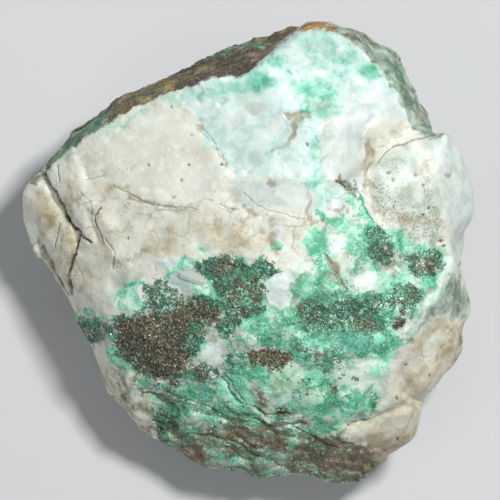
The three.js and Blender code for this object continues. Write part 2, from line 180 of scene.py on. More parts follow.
# ---------------------------------------------------------------- fine mesh


def node_mesh(name):
    """Points, in millimetres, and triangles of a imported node, with the points of each corner shared."""
    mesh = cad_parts[name].data
    mesh.calc_loop_triangles()
    points = np.empty(len(mesh.vertices) * 3)
    mesh.vertices.foreach_get("co", points)
    faces = np.empty(len(mesh.loop_triangles) * 3, np.int64)
    mesh.loop_triangles.foreach_get("vertices", faces)
    points = np.round(points.reshape(-1, 3) / MM, 4)
    points, shared = np.unique(points, axis=0, return_inverse=True)
    return points, shared.reshape(-1)[faces].reshape(-1, 3)


def edges_of(faces, count):
    """Each edge once, and the number of the edge that starts at each corner of each face."""
    pairs = np.sort(np.stack([faces, np.roll(faces, -1, axis=1)], axis=2).reshape(-1, 2), axis=1)
    names, index = np.unique(pairs[:, 0] * count + pairs[:, 1], return_inverse=True)
    return np.stack([names // count, names % count], axis=1), index.reshape(-1, 3)


def normals_of(points, faces):
    """The outward direction at each point, from the faces round it."""
    corners = points[faces]
    cross = np.cross(corners[:, 1] - corners[:, 0], corners[:, 2] - corners[:, 0])
    total = np.zeros_like(points)
    for k in range(3):
        for axis in range(3):
            total[:, axis] += np.bincount(faces[:, k], cross[:, axis], len(points))
    return total / np.maximum(np.linalg.norm(total, axis=1, keepdims=True), 1e-12)


def turned(faces, cuts, turn):
    """Faces and their cuts, each turned so that it starts at corner turn."""
    order = (turn[:, None] + np.arange(3)) % 3
    return np.take_along_axis(faces, order, 1), np.take_along_axis(cuts, order, 1)


def split(points, faces, cuts):
    """Faces parted at the middles in cuts, where -1 is an edge without one."""
    count = (cuts >= 0).sum(axis=1)
    made = [faces[count == 0]]
    one = count == 1
    f, c = turned(faces[one], cuts[one], np.argmax(cuts[one] >= 0, axis=1))
    made += [np.stack([f[:, 0], c[:, 0], f[:, 2]], 1), np.stack([c[:, 0], f[:, 1], f[:, 2]], 1)]
    two = count == 2
    f, c = turned(faces[two], cuts[two], (np.argmax(cuts[two] < 0, axis=1) + 1) % 3)
    made.append(np.stack([c[:, 0], f[:, 1], c[:, 1]], 1))
    slant = np.linalg.norm(points[f[:, 0]] - points[c[:, 1]], axis=1)
    slant = slant < np.linalg.norm(points[c[:, 0]] - points[f[:, 2]], axis=1)
    a, b = f[slant], c[slant]
    made += [np.stack([a[:, 0], b[:, 0], b[:, 1]], 1), np.stack([a[:, 0], b[:, 1], a[:, 2]], 1)]
    a, b = f[~slant], c[~slant]
    made += [np.stack([a[:, 0], b[:, 0], a[:, 2]], 1), np.stack([b[:, 0], b[:, 1], a[:, 2]], 1)]
    f, c = faces[count == 3], cuts[count == 3]
    made += [
        np.stack([f[:, 0], c[:, 0], c[:, 2]], 1),
        np.stack([c[:, 0], f[:, 1], c[:, 1]], 1),
        np.stack([c[:, 2], c[:, 1], f[:, 2]], 1),
        c,
    ]
    return np.concatenate(made)


def near_crack(points):
    """Which points lie so close to a crack that they want the finer mesh."""
    far = np.minimum.reduce([run_distance(points[:, :2], run) for run, *_ in CRACKS])
    return far < CRACK_REACH


def refined(points, faces):
    """The mesh with every edge halved that is longer than its side of the lump wants, a few times over."""
    for _ in range(HALVINGS):
        up = normals_of(points, faces)[:, 2]
        edges, index = edges_of(faces, len(points))
        a, b = points[edges[:, 0]], points[edges[:, 1]]
        facing = up[edges].mean(axis=1)
        limit = np.where(facing > UPPER_FACING, UPPER_EDGE, WALL_EDGE)
        limit = np.where(facing < LOWER_FACING, LOWER_EDGE, limit)
        limit = np.where((facing > CRACKED_FACING) & near_crack((a + b) / 2), CRACK_EDGE, limit)
        long = np.linalg.norm(a - b, axis=1) > limit
        number = np.full(len(edges), -1)
        number[long] = len(points) + np.arange(long.sum())
        points = np.concatenate([points, (a[long] + b[long]) / 2])
        faces = split(points, faces, number[index])
    return points, faces


def neighbour_mean(values, edges):
    """The mean of the values at the points that share an edge with each point."""
    total = np.zeros_like(values)
    count = np.bincount(edges.ravel(), minlength=len(values))
    for axis in range(values.shape[1]):
        total[:, axis] = np.bincount(edges[:, 0], values[edges[:, 1], axis], len(values))
        total[:, axis] += np.bincount(edges[:, 1], values[edges[:, 0], axis], len(values))
    return total / count[:, None]


def sharpness(points, faces):
    """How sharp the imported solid's ridges are at each of its points, from 0 to 1."""
    corners = points[faces]
    normal = np.cross(corners[:, 1] - corners[:, 0], corners[:, 2] - corners[:, 0])
    normal /= np.linalg.norm(normal, axis=1, keepdims=True)
    edges, index = edges_of(faces, len(points))
    order = np.argsort(index.ravel(), kind="stable")
    pair = (order // 3).reshape(-1, 2)
    bend = np.degrees(np.arccos(np.clip((normal[pair[:, 0]] * normal[pair[:, 1]]).sum(axis=1), -1, 1)))
    sharp = np.zeros(len(points))
    np.maximum.at(sharp, edges.ravel(), np.repeat(smooth(*RIDGE_BENDS, bend), 2))
    return sharp


# ---------------------------------------------------------------- where each finish lies

# Places are in millimetres, seen from above. Each finish is a list of areas, veins and spots, and a share
# under 1 leaves some of what lies beneath showing between its grains. Later finishes cover earlier ones.


def area(*outline, share=1.0, soft=0.8):
    """A patch inside an outline. Soft is how far its edge fades either way."""
    return "area", outline, share, soft


def vein(half, *run, share=1.0, soft=0.4):
    """A band along a run of points, half as wide on either side."""
    return "vein", (run, half), share, soft


def spot(x, y, radius, share=1.0, soft=0.4):
    """A round patch."""
    return "spot", (x, y, radius), share, soft


SMOOTH_FACE = ((-35, 18), (-30, 23), (-13.5, 32), (-9, 25.5), (-5, 18), (-8, 11), (-20, 11.5), (-27, 15))
NORTH_WEST_WALL = (
    (-42, 14), (-37.5, 18.5), (-30.5, 23.5), (-22, 29), (-13.5, 32), (-6.5, 34.5), (-1, 34.5), (2.5, 37),
    (5.5, 40.5), (10.5, 44), (10, 52), (-52, 52), (-52, 14),
)
NORTH_EAST_WALL = (
    (14, 46), (20, 42), (25, 38), (28, 34), (30.5, 29.5), (32.5, 24.5), (36, 22.5), (48, 26), (48, 52),
    (14, 52),
)
GLASSY_NORTH = (
    (-13, 31), (-14, 35), (0, 39), (8, 46), (18, 48), (28, 42), (34, 34), (34, 26), (26, 27), (16, 27.5),
    (14.5, 14), (6.5, 14), (-4.5, 17.5), (-7, 22.5), (-10, 26),
)
WHITE_FACET = (
    (15, 24), (16.5, 27), (24, 30), (26, 27.5), (22.5, 23.5), (23, 15), (22, 11), (18, 14.5),
    (14.5, 14.5),
)
BLOCK_TOP = (
    (26.5, 18), (32, 21), (35.5, 19), (38.5, 13), (39, 5), (37, 2), (30.5, 3), (26.5, 7.5), (25, 12.5),
)
BLOCK_FACET = (
    (33.5, 23), (39, 25), (42.5, 20), (45.5, 12), (46, 5), (43, -1), (40, -2), (40, 7), (38.5, 14),
    (36.5, 19.5),
)
UPPER_DRUSE = (
    (-11, -2), (-5, -0.5), (1, -2), (3.5, 0), (7.5, -4), (4, -6), (3, -9), (4, -11), (-1, -14), (-5, -17),
    (-6, -14), (-4.5, -12), (-5, -9.5), (-7, -5.5), (-10, -3.5),
)
BROWN_DOME = (
    (-25.5, -14), (-21.5, -12), (-14, -12), (-12, -9.5), (-8, -9), (-5, -11), (-6, -13.5), (-11, -15),
    (-12, -18.5), (-11, -21.5), (-14, -26), (-19.5, -24.5), (-24, -21), (-26, -18.5),
)
EAST_FIELD = (
    (9, -9.5), (14.5, -7.5), (20.5, -8), (27.5, -8), (29.5, -5.5), (35, -6.5), (34, -10), (30.5, -16),
    (29, -18.5), (23, -20.5), (18, -24), (15, -23), (11.5, -17.5), (9, -14),
)
LOWER_HALF = (
    (-34, -12), (-26, -13), (-20, -9), (-12, -8), (-5, -2), (4, -2.5), (9, -5), (12, -1), (12.5, 4),
    (22, 10), (25, 6), (40, 0), (37.5, -10), (30.5, -18), (27, -28), (16, -36), (16, -44), (-4, -44),
    (-14, -38), (-19, -32), (-20, -27), (-27, -21),
)
EAST_BAND = (
    (41, -3), (45, -9), (43, -13.5), (37.5, -12.5), (32, -18), (30.5, -18), (33, -15), (36.5, -10),
    (39, -7),
)
SOUTH_EAST_FACE = (
    (37.5, -13), (43, -13.5), (44, -20), (36, -28), (35, -35), (32, -42), (27, -44), (22, -38), (16, -35),
    (20.5, -31.5), (26.5, -30), (28, -23), (31, -18),
)
SOUTH_WEST_FACE = (
    (-28.5, -21.5), (-25.5, -24), (-20.5, -28), (-17, -32), (-18.5, -36), (-21.5, -38), (-28, -30),
    (-31, -22),
)
STRATA = ((-19, -32), (-4, -31), (8, -32), (18, -35), (28, -40), (26, -50), (-19, -50))
BOTTOM_SLOPE = (
    (-18, -34), (-12, -35.5), (-4, -33), (6, -33.5), (14, -34), (20, -37), (27, -41), (26, -49),
    (-18, -49),
)
NORTH_TIP = ((9, 44), (17, 46), (25, 40), (21, 36), (10, 36))
FOOT_CRUST = ((-20, -25), (-4, -18), (14, -20), (27, -22), (26, -31), (4, -33), (-16, -34))
# Runs that a crack and the soil in it both follow.
FACE_FOOT = ((-26.5, 13.5), (-23, 11.5), (-18.5, 9.5), (-12, 9), (-9.5, 8.5))
FACE_END = ((-9, 25), (-6.5, 22), (-5.5, 19.5), (-4.5, 17))
PALE_EDGE = ((15.5, -0.5), (17.5, -3.5), (20, -7.5))

PATCHES = {
    "glassy": (
        area(*GLASSY_NORTH, soft=1.5),
        area((-17.5, -2), (-11, -2), (-6.5, -5.5), (-8, -8.5), (-15.5, -6)),
        area((11, 13), (22, 16), (24, 4), (14, 4), share=0.55, soft=2),
        spot(-24, -7, 3, 0.6, 2),
        area((-4, 17), (6, 15), (6, 8), (-2, 10), share=0.5, soft=2),
    ),
    "tan": (
        area(
            (-43, 14), (-34, 16), (-24, 13), (-22, 4), (-26, -4), (-34, -12), (-43, -2),
            share=0.46, soft=3,
        ),
        area((-20, 9), (-6, 8), (6, 5), (4, 0), (-8, 0), (-22, -2), share=0.42, soft=2),
        area((38, -12), (44, -13), (44, -22), (38, -27), (36, -22), share=0.8, soft=2.5),
        area((20, -35), (34, -34), (34, -42), (24, -44), share=0.72, soft=2),
        area(*SOUTH_EAST_FACE, share=0.45, soft=2),
        area(*SOUTH_WEST_FACE, share=0.62, soft=2),
        area((-11.5, -13.5), (-5, -13), (-4, -20), (-10, -20), share=0.8, soft=1.5),
        area((26, 8), (37, 8), (39, 1), (32, 1), share=0.4, soft=1.5),
    ),
    "grey": (
        area(*BLOCK_TOP, share=1, soft=1.5),
        area(*EAST_BAND, share=0.9, soft=1),
        area(*LOWER_HALF, share=0.85, soft=1.5),
        area((-24.5, -21.5), (-21, -22.5), (-18.5, -26.5), (-20, -28), (-23.5, -25)),
        area((16.5, -31.5), (24, -31), (23.5, -34), (18, -34)),
        area((-29.5, -16.5), (-26, -16), (-25.5, -18.5), (-28, -19.5)),
        area((14, 29), (18, 31), (22, 29.5), (19, 26), (15, 26.5), share=0.9, soft=1.2),
        area((-14, -3.5), (-10, -3.6), (-7, -5.5), (-9, -6), share=1, soft=0.3),
        spot(-9.5, 31, 1.2, 0.9, 0.8), spot(-5.5, 30, 1.3, 0.8, 0.8), spot(-1, 15, 1.6, 0.5, 1.5),
        spot(17, 13, 2, 0.8, 1), spot(9, 17.5, 2.5, 0.7, 1), spot(-31, -5, 3, 0.4, 3),
        spot(-8, 1, 3, 0.45, 3), spot(-22, 4, 3, 0.5, 3), spot(-37, 9, 2.5, 0.5, 2),
        spot(-12, 6, 3, 0.4, 2),
    ),
    "white": (
        area(*WHITE_FACET, soft=0.6),
        area(*BLOCK_FACET, share=0.95, soft=1.2),
        area((15, 11.5), (21, 11.5), (22, 8), (19.5, 6), (15.5, 7.5), share=0.8),
        area((-5, 12.5), (3, 15), (13, 14), (13.5, 8), (5, 9), (0, 8), share=0.7, soft=1.5),
        area((11.5, 40), (15.5, 41.5), (16, 36.5), (12, 36.5), share=0.6, soft=1),
        area((26, 33.5), (30, 30), (29, 25), (25, 29), share=0.75, soft=1.2),
        spot(2, 29, 1.8, 0.8, 1.2), spot(-2, 26, 2.4, 0.6, 1.5), spot(6, 25, 2, 0.6, 1.5),
        spot(6, 5, 2.2, 0.8, 1), spot(19, 39, 1.4, 0.8, 1), spot(-16, 3.5, 2.4, 0.55, 2),
    ),
    "tint": (
        vein(1.6, (-14, 31), (-8, 32.5), (-2, 32.5), (1, 35), (6, 39), share=0.75, soft=1.6),
        vein(0.9, (5.5, 39), (9, 35.5), (15.5, 34.5), (21.5, 36), (26, 38.5), share=0.8, soft=1.2),
        area(
            (0, 36.5), (6, 37), (14, 36), (19, 32), (19, 27), (12, 27), (8, 32), (1, 31),
            share=0.6, soft=2,
        ),
        vein(0.9, (12.5, 28), (13.5, 21.5), (14, 13), share=0.7, soft=1),
        area(*NORTH_TIP, share=0.42, soft=2),
        vein(0.7, (-9, 25.5), (-7, 23.5), (-6.5, 21), share=0.8, soft=0.8),
        vein(0.35, (-42, 15.5), (-34, 20.5), (-25, 26), (-14, 31), share=0.6, soft=0.8),
        area((20, 46), (28, 40), (33, 32), (31, 27), (27, 34), (20, 41), share=0.5, soft=1.5),
        area((-26.5, -4), (-22, -4), (-20.5, -8), (-22, -12), (-26, -11), share=0.66, soft=1.5),
        spot(5, 19, 1.4, 0.5, 1.2),
        area((30, 19.5), (33, 20.5), (34, 19), (31.5, 18), share=0.7, soft=1),
        area((14, 17), (18, 16), (22, 11), (20, 7), (14, 8), share=0.4, soft=1.5),
        area((16, -20), (28, -20), (27, -32), (4, -33), (4, -24), share=0.5, soft=2),
    ),
    "deep": (
        area(
            (8, 34), (14, 34.5), (17, 32.5), (18.5, 29), (16, 29), (12, 30.5), (9, 31.5),
            share=0.8, soft=1.2,
        ),
        area((0.5, 35.5), (4, 36), (6, 34), (3, 31.5), (0.5, 32), share=0.62, soft=1),
        area((21.5, 36), (25, 39), (26.5, 35.5), (24, 34), share=0.75, soft=1),
        vein(0.5, (11.5, 30.5), (11.5, 26.5), share=0.7, soft=0.7),
        vein(0.3, (5.5, 39), (8, 35.5), share=0.6, soft=0.8),
        vein(0.35, (12.5, 25), (13.5, 21.5), (14, 17), (14, 13), share=0.62, soft=0.7),
        vein(0.3, (9, 35.5), (15.5, 34.5), (21.5, 36), share=0.55, soft=0.8),
        area(*NORTH_TIP, share=0.3, soft=2),
    ),
    "murk_and_shade": (
        area(*LOWER_HALF, share=0.34, soft=1.5),
        area(*BOTTOM_SLOPE, share=0.95, soft=1.2),
        # painted shade that darkens the south-west face, which faces away from the light
        area(*SOUTH_WEST_FACE, share=0.48, soft=2),
        area(
            (-27, -20), (-14, -26), (-2, -25), (8, -29), (10, -33), (-12, -34), (-20, -30), (-27, -24),
            share=0.58, soft=1.5,
        ),
        area((18, 16), (21, 14), (23, 10.5), (20, 11), share=0.55, soft=1.2),
    ),
    "mint": (
        area(*LOWER_HALF, share=0.6, soft=1.6),
        area(*BOTTOM_SLOPE, share=0.3, soft=1),
        area(*FOOT_CRUST, share=0.61, soft=1.5),
        area((14, 6), (20.5, 6), (24, 2.5), (23, -2), (19.5, -7.5), (13, -8), (12.5, -2), share=0.55),
        vein(0.4, (13.5, 21.5), (14, 17), (14, 13), share=0.62, soft=0.6),
        vein(0.6, (-34, -12.5), (-31, -12), (-26, -13)),
        vein(0.8, (14, 8), (17, 5), (20, 8), (21, 11), share=0.7, soft=0.8),
        vein(0.6, (-19, -8), (-15, -3), (-9, -1.5), (-4, 0.5), share=0.6, soft=1.0),
        spot(-14.5, -3, 0.9, 0.7), spot(-5, 0.5, 1.3, 0.7, 0.8), spot(6, 1.5, 1.2, 0.6),
        spot(-24, -9, 1.6, 0.7, 1), spot(-20.5, -6, 0.8),
    ),
    "green": (
        area((-12.5, -26), (-8.5, -25), (-5.5, -26), (-6, -30), (-10, -30.5), share=0.75),
        area((15, -26), (18.5, -26.5), (18.5, -30.5), (15.5, -30), share=0.7),
        area((20.5, -25.5), (26, -26), (25.5, -30.5), (21, -31), share=0.65),
        area((-13, -34), (-4, -30), (3, -31.5), (10, -32.5), (9, -35), (-4, -34), (-13, -38), share=0.5),
        area((13.5, 1), (16, 2), (18, -1), (16.5, -4), (14, -4), share=0.6),
        area(*EAST_FIELD, share=0.85, soft=1),
        area(*UPPER_DRUSE, share=0.8),
        area(*FOOT_CRUST, share=0.45, soft=2),
        area((13, 4), (22, 8), (26, 2), (22, -8), (12, -8), share=0.36, soft=1.5),
        area((-5, -12), (3, -10.5), (9, -12), (12, -18), (9, -20), (-4, -18), share=0.55, soft=1.2),
        area((-3, -33), (4, -36), (10, -40), (2, -43), (-6, -41), share=0.3, soft=1.5),
        vein(0.5, (21.5, 11), (22.5, 8.5), (25, 5), share=0.9),
        vein(0.7, (-34, -13.5), (-26, -14), (-20, -11), share=0.7),
    ),
    "pale": (
        area((7, -3), (10.5, 0), (13, -2), (9, -6), soft=0.4),
        area((20.5, -4), (26, -3), (27, -7.5), (22, -8)),
        area((18, -22), (24.5, -21.5), (24.5, -25.5), (19.5, -26), share=0.75),
        area((-9, -18), (-4.5, -17), (-4.5, -22.5), (-9.5, -22.5), share=0.85, soft=1.2),
        area((-7.5, -22), (-4, -22), (-5, -25.5), (-8, -25)),
        area((17, -21.5), (26, -21), (26, -27), (21, -27), (17, -25), share=0.8, soft=1),
        area((16, 4.5), (20, 5), (20.5, 1), (17, 0), share=0.85),
        area((17, -1), (21, 0), (22, -7), (19, -7), share=0.7),
        vein(0.3, (7, -43.5), (11, -43), (14.5, -44), share=0.8),
        vein(0.3, (-3, -41), (2, -42.8), share=0.7),
        vein(0.25, (10, -42.2), (12.5, -42.4), share=0.8),
        area((-9, -37), (-4.5, -38), (-5, -41), (-8.5, -40.5), share=0.45),
        vein(0.3, (-11, -33), (-4, -33.6), share=0.6),
        vein(0.9, (40.5, -1.5), (39, -4.5), (38, -7), (36, -9), (34.5, -10)),
        vein(0.5, (30, -3), (33, -6), (37, -7), share=0.8),
        vein(0.4, (8, -15), (12, -18), (14.5, -20), share=0.8),
        spot(26, -17, 0.8, 0.7), spot(13, -24, 1, 0.6), spot(30.2, -13.6, 2.1, 0.85),
        spot(0, -28, 1, 0.6),
    ),
    "dark": (
        area(*UPPER_DRUSE, share=0.68),
        area((-34, -13), (-26, -14), (-26, -16), (-30, -18.5), (-33, -17), share=0.75),
        area((23.5, 4.5), (26.5, 5.5), (30, 2.5), (29.5, -2), (26, -2.5), (24, 0.5), share=0.72),
        area((31, -0.5), (34.5, 1.5), (39.5, 0), (40, -4), (36.5, -5.5), (32, -4), share=0.66),
        area(
            (9.5, -10), (20, -9), (27, -9), (35, -7), (30, -16), (24, -15.5), (17, -15.5), (12, -17),
            share=0.64,
        ),
        area((-21, -6), (-17.5, -5), (-13.5, -7.5), (-13.5, -10.5), (-18, -11), (-21, -9.5), share=0.7),
        area((-19, -31), (-14, -31.5), (-14, -36), (-17.5, -36.5), share=0.8),
        area(
            (-27, -13), (-9, -8), (-4, -10), (-8, -16), (-11, -22), (-14, -27), (-26, -20),
            share=0.75, soft=1.2,
        ),
        area((9, -17), (14, -18), (20, -20), (18, -24), (12, -22), share=0.5),
        area(*BOTTOM_SLOPE, share=0.2),
        area(
            (-10, -26), (-5, -25), (-2, -22), (9, -22), (6, -19), (-3, -18), (-11, -23),
            share=0.5, soft=1.2,
        ),
        area((-20, -26), (-12, -27), (-10, -33), (-16, -32), share=0.4, soft=1),
    ),
    "chalk": (
        area((3.5, -5.5), (9, -3), (9, -9.5), (6, -11.5), (3.5, -9.5), soft=0.5),
        area((16, 4), (19.5, 4.5), (20, 1), (17, 0), share=0.7, soft=0.6),
        area((-8.5, -19), (-5, -18.5), (-5, -22), (-8.5, -22), share=0.6),
        area((20.5, -4.5), (25.5, -3.5), (26.5, -7), (22, -7.5), share=0.7, soft=0.6),
        vein(0.4, (40, -2), (38, -7), (35, -10)),
    ),
    "earth_and_shade": (
        area((-5, -33.5), (7, -34), (8, -39.5), (-4, -40.5), share=0.75, soft=1.5),
        area((10, -35.5), (20.5, -37), (26, -40), (26, -45), (15, -44), (9, -40), share=0.85, soft=1.5),
        area((-14, -36.5), (-8, -37.5), (-8, -41.5), (-13, -41), share=0.72, soft=1.2),
        area((3, -41), (12, -42), (20, -46), (2, -46), share=0.45, soft=1.2),
        area((9.5, -25.5), (12.5, -26), (12.5, -28.5), (9.5, -28), share=0.62, soft=0.8),
        spot(3.5, -29, 1.4, 0.66, 0.8), spot(17.5, -27.5, 0.9, 0.66, 0.6),
        spot(15.3, -20.5, 1.1, 0.62, 0.6), spot(-12.5, -22.5, 1.5, 0.6, 1),
        # painted shade: a dark band along the crevice under a layer
        area((-14, -28), (-9, -30.5), (0, -32), (0, -33.5), (-12, -33), share=0.5, soft=1),
    ),
    "sage": (
        area((4, -22.5), (9, -21.5), (11.5, -25), (10, -28.5), (4.5, -28), share=0.85, soft=0.8),
        area((-1, -29), (6, -29), (8, -32), (3, -32.5), (-1, -31), share=0.62, soft=1),
        area((-9.5, -36.5), (-4.5, -37.5), (-5, -41), (-9, -40.5), share=0.6, soft=1),
        area((11, -26.5), (15.5, -26), (15, -31), (9, -31), share=0.55, soft=1),
        area((-16, -33), (-6, -32), (-3, -34), (-14, -35.5), share=0.5, soft=0.8),
        area((5, -41.5), (16, -42.5), (14, -44.5), (5, -44), share=0.6, soft=0.6),
    ),
    "teal": (
        area((17, -16), (26, -15.5), (26.5, -18.5), (22.5, -20), (18.5, -20), share=0.7),
        spot(-22.5, -6.5, 1.2, 0.66, 0.8), spot(-8.5, -27.5, 1.5, 0.6), spot(14, -19.5, 1.3, 0.5),
        area((0, -39.5), (6, -39), (7, -43), (1, -43), share=0.4, soft=1),
    ),
    "bright": (
        area((-5.5, -24), (-1.5, -23.5), (1, -26.5), (0.5, -31), (-2.5, -31.5), (-5, -28.5), share=0.7),
        vein(0.5, (22, 10), (23, 7.5), (25, 5), share=0.9),
        vein(0.5, (-5, -16.5), (-1, -14), (3, -12), share=0.7),
        spot(-26, -21.5, 1), spot(13, -40, 0.5), spot(5, -11, 1.2, 0.6), spot(20, -29.5, 1, 0.6),
        spot(-11, -35.5, 1.2, 0.7), spot(25, 3, 0.8, 0.6),
        area((6, -30), (10, -29.5), (11, -31.5), (7, -32), share=0.6, soft=0.7),
        vein(0.4, (9, -15), (13, -17), (15, -20.5), share=0.7),
        area((23, -20), (26, -21), (27.5, -25), (25.5, -25), share=0.6, soft=0.7),
        spot(-22, -27, 0.8, 0.6), spot(2, -33, 1, 0.6), spot(-16, -8, 0.9, 0.6),
        spot(28, -20.5, 1.2, 0.6), spot(28, -4.5, 0.8, 0.7),
    ),
    "brown": (
        area(*BROWN_DOME, share=0.86, soft=1),
        area((9.5, -10.5), (13.5, -10), (14, -14), (10.5, -14), share=0.52),
        area((-0.5, -19.5), (4.5, -18.5), (9.5, -20), (9, -22.5), (3, -23), (0, -22), share=0.75),
        area((29, -7.5), (31.5, -6), (35, -7), (34, -10.5), (30, -12), share=0.42),
        area((18.5, -13), (25, -12), (26, -15.5), (20.5, -16.5), share=0.4),
        area((-7, -2), (-3, -1), (0, -2.5), (-2, -4.5), (-6, -4.5), share=0.5),
        area((-4, -6), (1, -4), (4, -8), (1, -10), (-3, -9), share=0.46),
        spot(30.2, -13.6, 1.3, 0.7), spot(-15, -34.5, 1.2, 0.8), spot(19, -24.5, 0.5, 0.6),
        spot(25.5, -30, 0.8, 0.5), spot(21, -25, 0.6, 0.6), spot(-9, -24, 1.3, 0.7),
        spot(7, -31.5, 1.2, 0.5), spot(28, 0.5, 1.2, 0.5), spot(36.5, -2.5, 1.6, 0.5),
        spot(-1, -11.5, 1.5, 0.45), spot(10.5, -33.5, 1.2, 0.45), spot(12, -26, 1, 0.5),
    ),
    "soil": (
        area((-41.5, 7), (-38.5, 7.5), (-38, 4), (-40.5, 3.5), share=0.8, soft=1.5),
        area((-35, 12.5), (-32.5, 12), (-33, 9.5), (-35.5, 10), share=0.8, soft=1.5),
        area((26, 9.5), (31, 8.5), (37.5, 7), (38, 3.5), (33, 4.5), (27.5, 7), share=0.6, soft=1.5),
        area((38.5, -18), (42.5, -18), (42, -21.5), (38.5, -21.5), share=0.8, soft=1.5),
        area((22, -37), (32, -36), (30, -43), (24, -43), share=0.6, soft=2),
        vein(0.5, (8, 27.5), (12, 27), share=0.75),
        vein(0.6, (9.5, 27), (9.5, 23.5), (5.5, 20), share=0.75, soft=0.5),
        vein(0.4, *FACE_FOOT, share=0.8, soft=0.8),
        vein(0.8, (-30, 8), (-27, 13), (-24, 12.5), share=0.7, soft=1.2),
        vein(0.4, (24, 23), (24, 13), share=0.8, soft=0.8),
        vein(0.5, (0, 9), (5, 6), (6, 0), share=0.6, soft=1),
        vein(0.7, (35, 17.5), (37, 10.5), (38.5, 3.5), share=0.6, soft=1.2),
        vein(0.4, (12.5, 9.5), (12, 6.5), (14, 6), share=0.9),
        vein(0.3, *FACE_END, share=0.7, soft=0.5),
        vein(0.3, *PALE_EDGE, share=0.9),
        vein(0.4, (-20, 10), (-8, 7), (2, 5), (10, 3), share=0.55, soft=1.2),
        vein(0.5, (-30, 3), (-26, -2), (-20, 0), share=0.5, soft=1.2),
        vein(0.4, (-36, 3), (-31, -8), share=0.6, soft=1),
        spot(5, 14, 0.8, 0.9), spot(39.5, 15, 0.7), spot(17.5, 9, 0.6), spot(19.5, 8, 0.5),
        spot(-23, 17.5, 1, 0.5), spot(-8.5, -15.5, 1.2, 0.5), spot(-6, -17.5, 0.8, 0.6),
        spot(24, 22, 0.7, 0.8), spot(-21, -36, 1.5, 0.5),
    ),
    "olive": (
        area(
            (-44, 10), (-36, 20), (-25, 28), (-12, 33), (-4, 37), (4, 41), (2, 50), (-44, 50),
            share=0.66, soft=1.5,
        ),
        area((-26, 27), (-13, 32.5), (-14, 38), (-27, 36), share=0.95, soft=1.5),
        area((-8, 38), (4, 40), (6, 44), (-8, 44), share=0.85, soft=1),
    ),
    "verdigris": (
        area((-45, 10), (-37, 18), (-28, 24), (-26, 30), (-45, 26), share=1, soft=2),
        area((-24, 27.5), (-12, 32.5), (-10, 34.5), (-24, 31), share=0.5, soft=1.2),
        area((-14, 35), (-4, 39), (4, 40), (5, 42), (-4, 43), share=0.7, soft=1.2),
        area((27, 36), (33, 28), (38, 22), (42, 26), (32, 42), share=0.45, soft=1.5),
        area((26, 30), (30, 31), (34, 22), (31, 22), share=0.4, soft=1.2),
        spot(24, 41, 1.6, 0.5, 1),
    ),
    "reddish": (
        area((-3, 36), (4, 38), (6, 40.5), (0, 39), share=0.5, soft=1),
        area((-28, 26), (-22, 29), (-23, 32), share=0.5),
        area((19, 43), (24, 40.5), (25, 43), (20, 45), share=0.6, soft=1),
        spot(34, 27, 1.4, 0.6, 1), spot(-12, -22.5, 1.1, 0.6), spot(-10, -41, 1.5, 0.6, 1),
        spot(6, -24, 0.6, 0.5), spot(18, -41, 2.4, 0.5, 1.5), spot(16, 9.5, 0.8, 0.5, 0.8),
        spot(1, -38, 1.8, 0.45, 1.5),
        area((39, -15), (44, -15), (43, -21), share=0.5, soft=2),
    ),
    "dirt": (
        area(
            (26, 18), (31, 20), (36, 17), (39, 8), (39, -1), (33, 2), (26, 6), (24, 12),
            share=0.8, soft=1.5,
        ),
        area((26, 9.5), (31, 9), (38, 8), (39, 0), (33, 2.5), (27, 6), share=1, soft=1.2),
        area(
            (37, -14), (42, -15), (42, -22), (34, -28), (33, -38), (26, -40), (28, -24),
            share=0.45, soft=2,
        ),
        area((-41, 12), (-30, 15), (-22, 12), (-24, -4), (-34, -10), (-41, 4), share=0.55, soft=2),
        area((-24, 12), (12, 12), (14, 2), (-6, 1), (-24, 2), share=0.4, soft=2),
        area((-27, 22), (-19, 20), (-20, 13), (-28, 14), share=0.6, soft=2),
        spot(-1, 15.5, 2.4, 0.75, 1.6),
        area((17, 16), (22, 14), (23, 10), (19, 11), share=0.9, soft=0.8),
    ),
    "rust": (
        area((7, 43.2), (12, 43.8), (16, 44.6), (15.5, 48), (7, 48), share=0.9, soft=0.9),
        spot(17, 45, 1.6, 0.7), spot(-16, 34, 2, 0.6, 1.2), spot(3, 42.5, 1.6, 0.6, 0.8),
        vein(0.4, (-22, 32), (-15, 36), (-7, 39), (2, 43), share=0.5, soft=0.8),
        spot(20, 43, 1, 0.5, 0.8),
    ),
}
FIRST_SEED = 11  # the seed of the first finish, and one more for each that follows
# How far the edge of each finish wanders.
RAGGED = {
    "tan": 2.0, "tint": 1.6, "deep": 1.3, "glassy": 1.6, "grey": 1.4, "white": 0.9, "murk_and_shade": 2.0,
    "mint": 1.6, "soil": 1.2, "rust": 0.6,
}
RAGGED_OTHERWISE = 1.1
# How much each finish thickens and thins in patches a few millimetres wide.
PATCHY = {
    "rust": 0.5, "tint": 0.4, "deep": 0.3, "earth_and_shade": 0.3, "olive": 0.4, "verdigris": 0.35, "murk_and_shade": 0.35,
    "tan": 0.35, "mint": 0.55, "green": 0.45, "pale": 0.18, "chalk": 0.15, "dark": 0.2, "brown": 0.16,
    "grey": 0.3, "white": 0.2, "soil": 0.3, "dirt": 0.3,
}
PATCH_WIDTH = 4.2
FULLEST = 1.3  # a patch this full neither thickens nor thins
HALO = 0.45  # how far bright malachite reaches round the pale patches
HALO_SHARE = 0.62
WALL_FADE = 11  # over what height a wall's finish fades out
# The upward part of a normal at which the upper finishes, and those of the underside, begin and are full.
UPPER_FADE = (-0.05, 0.2)
HIDDEN_FADE = (0.35, -0.1)
BAND_SHARE = 0.75
OFF_THE_WALLS = (
    "glassy", "tint", "deep", "murk_and_shade", "mint", "green", "pale", "dark", "earth_and_shade", "chalk", "brown", "soil",
)
